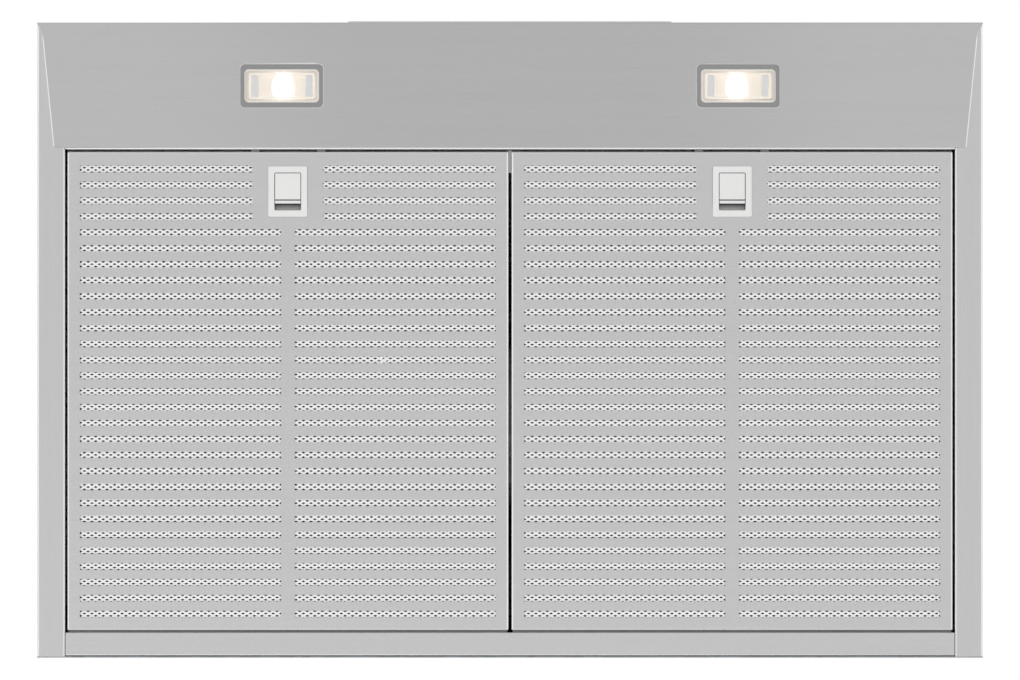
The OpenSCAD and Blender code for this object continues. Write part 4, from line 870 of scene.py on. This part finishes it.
class HOOD_OT_fasteners(bpy.types.Operator):
    """Screws with a cross recess in every head"""
    bl_idname = "hood.fasteners"
    bl_label = "Fasteners"

    def execute(self, context):
        steel = plated_steel("bright_zinc_screw", linear("#C4C7C9"), 0.24)
        ways = {"plate_screws": (0, 0, 1), "motor_screws": (-1, 0, 0), "chimney_screws": (1, 0, 0)}
        for node, way in ways.items():
            piece = softened(node, node + "_recessed", "hood", steel, 0.3 * MM)
            tools = []
            for low, high in islands(piece.data):
                middle = (low + high) / 2
                sign = math.copysign(1, middle.x) if node == "chimney_screws" else 1
                out = Vector(way) * sign
                face = middle + out * abs((high - low).dot(out)) / 2
                tools.append(self.cross(face, out))
            start_piece()
            for tool in tools:
                tool.select_set(True)
            context.view_layer.objects.active = tools[0]
            bpy.ops.object.join()
            cut = piece.modifiers.new("Cross recess", "BOOLEAN")
            cut.object = tools[0]
            cut.operation = "DIFFERENCE"
            apply_modifiers(piece)
            bpy.data.objects.remove(tools[0])
            if not piece.data.polygons:
                raise RuntimeError("The cross recesses left nothing of " + node)
            finish_piece(piece, node + "_recessed", "hood", steel)
        return {"FINISHED"}

    def cross(self, face, out):
        """A square bar with four arms, one closed shell, that sinks 1 mm into a screw head."""
        width = 0.8 * MM
        reach = 1.3 * MM
        start_piece()
        bpy.ops.mesh.primitive_cube_add(size=width, location=face)
        tool = bpy.context.object
        tool.scale.z = 2 * MM / width
        bpy.ops.object.transform_apply(location=False, rotation=False, scale=True)
        bpy.ops.object.mode_set(mode="EDIT")
        bpy.ops.mesh.select_mode(type="FACE")
        bpy.ops.mesh.select_all(action="DESELECT")
        bpy.ops.object.mode_set(mode="OBJECT")
        for side in tool.data.polygons:
            side.select = abs(side.normal.z) < 0.5
        bpy.ops.object.mode_set(mode="EDIT")
        bpy.ops.mesh.extrude_faces_move(TRANSFORM_OT_shrink_fatten={"value": reach})
        bpy.ops.object.mode_set(mode="OBJECT")
        tool.rotation_mode = "QUATERNION"
        tool.rotation_quaternion = out.to_track_quat("Z", "Y")
        bpy.ops.object.transform_apply(location=False, rotation=True, scale=False)
        return tool


def islands(mesh):
    """Boxes of the separate shells of a mesh."""
    group = list(range(len(mesh.vertices)))

    def root(i):
        while group[i] != i:
            group[i] = group[group[i]]
            i = group[i]
        return i

    for edge in mesh.edges:
        group[root(edge.vertices[0])] = root(edge.vertices[1])
    shells = {}
    for vertex in mesh.vertices:
        shells.setdefault(root(vertex.index), []).append(vertex.co)
    boxes = []
    for shell in shells.values():
        axes = list(zip(*shell))
        boxes.append((Vector([min(axis) for axis in axes]), Vector([max(axis) for axis in axes])))
    return boxes


# Soft boxes: name, place, width, height and watts. The low strips draw bright lines along the edges
LIGHTS = (
    ("key_light", (-2.6, -3.2, 2.8), 4.4, 4.4, 30),
    ("fill_light", (3.4, -1.6, 1.3), 3.4, 3.0, 15),
    ("under_light", (-0.6, 1.3, -1.15), 2.6, 2.4, 9),
    ("left_strip", (-2.3, -0.25, RIM - 0.3), 2.2, 0.9, 4.5),
    ("right_strip", (2.3, -0.25, RIM - 0.3), 2.2, 0.9, 4.5),
    ("rear_strip", (0, 2.1, RIM - 0.3), 2.6, 0.9, 7),
)


class HOOD_OT_stage(bpy.types.Operator):
    """Pale floor, soft light and the camera under the hood"""
    bl_idname = "hood.stage"
    bl_label = "Stage"

    def execute(self, context):
        scene, stage = context.scene, context.scene.hood_stage
        scene.view_settings.view_transform = "Standard"
        start_piece()
        bpy.ops.mesh.primitive_circle_add(vertices=96, radius=9, fill_type="NGON",
                                          location=(0, 0, RIM - stage.floor_drop))
        floor = context.object
        floor.name = "stage_floor"
        floor.data.materials.append(floor_material())
        world = bpy.data.worlds.new("Soft studio")
        scene.world = world
        world.use_nodes = True
        tree = world.node_tree
        tree.nodes.clear()
        path = add_node(tree, "ShaderNodeLightPath")
        seen = add_node(tree, "ShaderNodeMath", {
            0: path.outputs["Is Camera Ray"], 1: path.outputs["Is Transmission Ray"]}, operation="MAXIMUM")
        # The world's light on the object, and its level where a gloss mirrors it
        light, mirrored = 0.765, 0.84
        plain = add_node(tree, "ShaderNodeMapRange", {
            0: path.outputs["Is Glossy Ray"], 3: light, 4: mirrored})
        level = add_node(
            tree, "ShaderNodeMath", {0: seen.outputs[0], 1: plain.outputs[0]}, operation="MAXIMUM")
        back = add_node(tree, "ShaderNodeBackground", {"Color": (1, 1, 1, 1), "Strength": level.outputs[0]})
        add_node(tree, "ShaderNodeOutputWorld", {"Surface": back.outputs[0]})
        for name, place, width, height, watts in LIGHTS:
            self.lamp(name, place, width, height, watts)
        camera = bpy.data.objects.new("camera", bpy.data.cameras.new("camera"))
        scene.collection.objects.link(camera)
        scene.camera = camera
        camera.data.lens = camera.data.sensor_width * stage.distance / stage.frame_width
        camera.data.clip_start = 0.05
        middle_depth = -0.252
        camera.location = (0, middle_depth, RIM - stage.distance)
        camera.rotation_euler = (math.pi, 0, 0)
        return {"FINISHED"}

    def lamp(self, name, place, width, height, watts):
        """A soft box that faces the hood."""
        light = bpy.data.lights.new(name, "AREA")
        light.shape = "RECTANGLE"
        light.energy = watts
        light.size = width
        light.size_y = height
        lamp = bpy.data.objects.new(name, light)
        bpy.context.scene.collection.objects.link(lamp)
        lamp.location = place
        lamp.rotation_mode = "QUATERNION"
        aim = Vector((0, -0.25, 0))
        lamp.rotation_quaternion = (aim - Vector(place)).to_track_quat("-Z", "Y")
        lamp.visible_camera = False


def floor_material():
    """Matt white studio floor: from below the camera sees through it, from above it looks nearly white."""
    material, tree, shader = new_material(
        "matt_white_floor", roughness=0.9, base_color=rgba(linear("#FAFAFA")))
    shader.inputs["Emission Color"].default_value = rgba(linear("#FFFFFF"))
    path = add_node(tree, "ShaderNodeLightPath")
    lift = add_node(
        tree, "ShaderNodeMath", {0: path.outputs["Is Camera Ray"], 1: 0.24}, operation="MULTIPLY")
    tree.links.new(lift.outputs[0], shader.inputs["Emission Strength"])
    behind = add_node(tree, "ShaderNodeNewGeometry").outputs["Backfacing"]
    hidden = add_node(
        tree, "ShaderNodeMath", {0: path.outputs["Is Camera Ray"], 1: behind}, operation="MULTIPLY")
    clear = add_node(tree, "ShaderNodeBsdfTransparent")
    mix = add_node(tree, "ShaderNodeMixShader", {
        0: hidden.outputs[0], 1: shader.outputs["BSDF"], 2: clear.outputs[0]})
    for node in tree.nodes:
        if node.bl_idname == "ShaderNodeOutputMaterial":
            tree.links.new(mix.outputs[0], node.inputs["Surface"])
    return material


class HOOD_PT_pieces(bpy.types.Panel):
    """Lists the pieces and their sizes"""
    bl_idname = "HOOD_PT_pieces"
    bl_label = "Range hood"
    bl_space_type = "VIEW_3D"
    bl_region_type = "UI"
    bl_category = "Range hood"

    def draw(self, context):
        for group in (context.scene.hood_finish, context.scene.hood_mesh, context.scene.hood_stage):
            for name in group.__annotations__:
                self.layout.prop(group, name)
        for operator in OPERATORS:
            self.layout.operator(operator.bl_idname)


GROUPS = {"hood_finish": HoodFinish, "hood_mesh": HoodMesh, "hood_stage": HoodStage}
OPERATORS = (
    HOOD_OT_sheet_metal, HOOD_OT_filter_mesh, HOOD_OT_lamps, HOOD_OT_latches, HOOD_OT_controls,
    HOOD_OT_fasteners, HOOD_OT_stage,
)


def register():
    for name, group in GROUPS.items():
        bpy.utils.register_class(group)
        setattr(bpy.types.Scene, name, PointerProperty(type=group))
    for cls in (*OPERATORS, HOOD_PT_pieces):
        bpy.utils.register_class(cls)


def unregister():
    for cls in (HOOD_PT_pieces, *reversed(OPERATORS)):
        bpy.utils.unregister_class(cls)
    for name, group in GROUPS.items():
        delattr(bpy.types.Scene, name)
        bpy.utils.unregister_class(group)


def main():
    register()
    bpy.ops.hood.sheet_metal()
    bpy.ops.hood.filter_mesh()
    bpy.ops.hood.lamps()
    bpy.ops.hood.latches()
    bpy.ops.hood.controls()
    bpy.ops.hood.fasteners()
    bpy.ops.hood.stage()


if __name__ == "__main__":
    main()
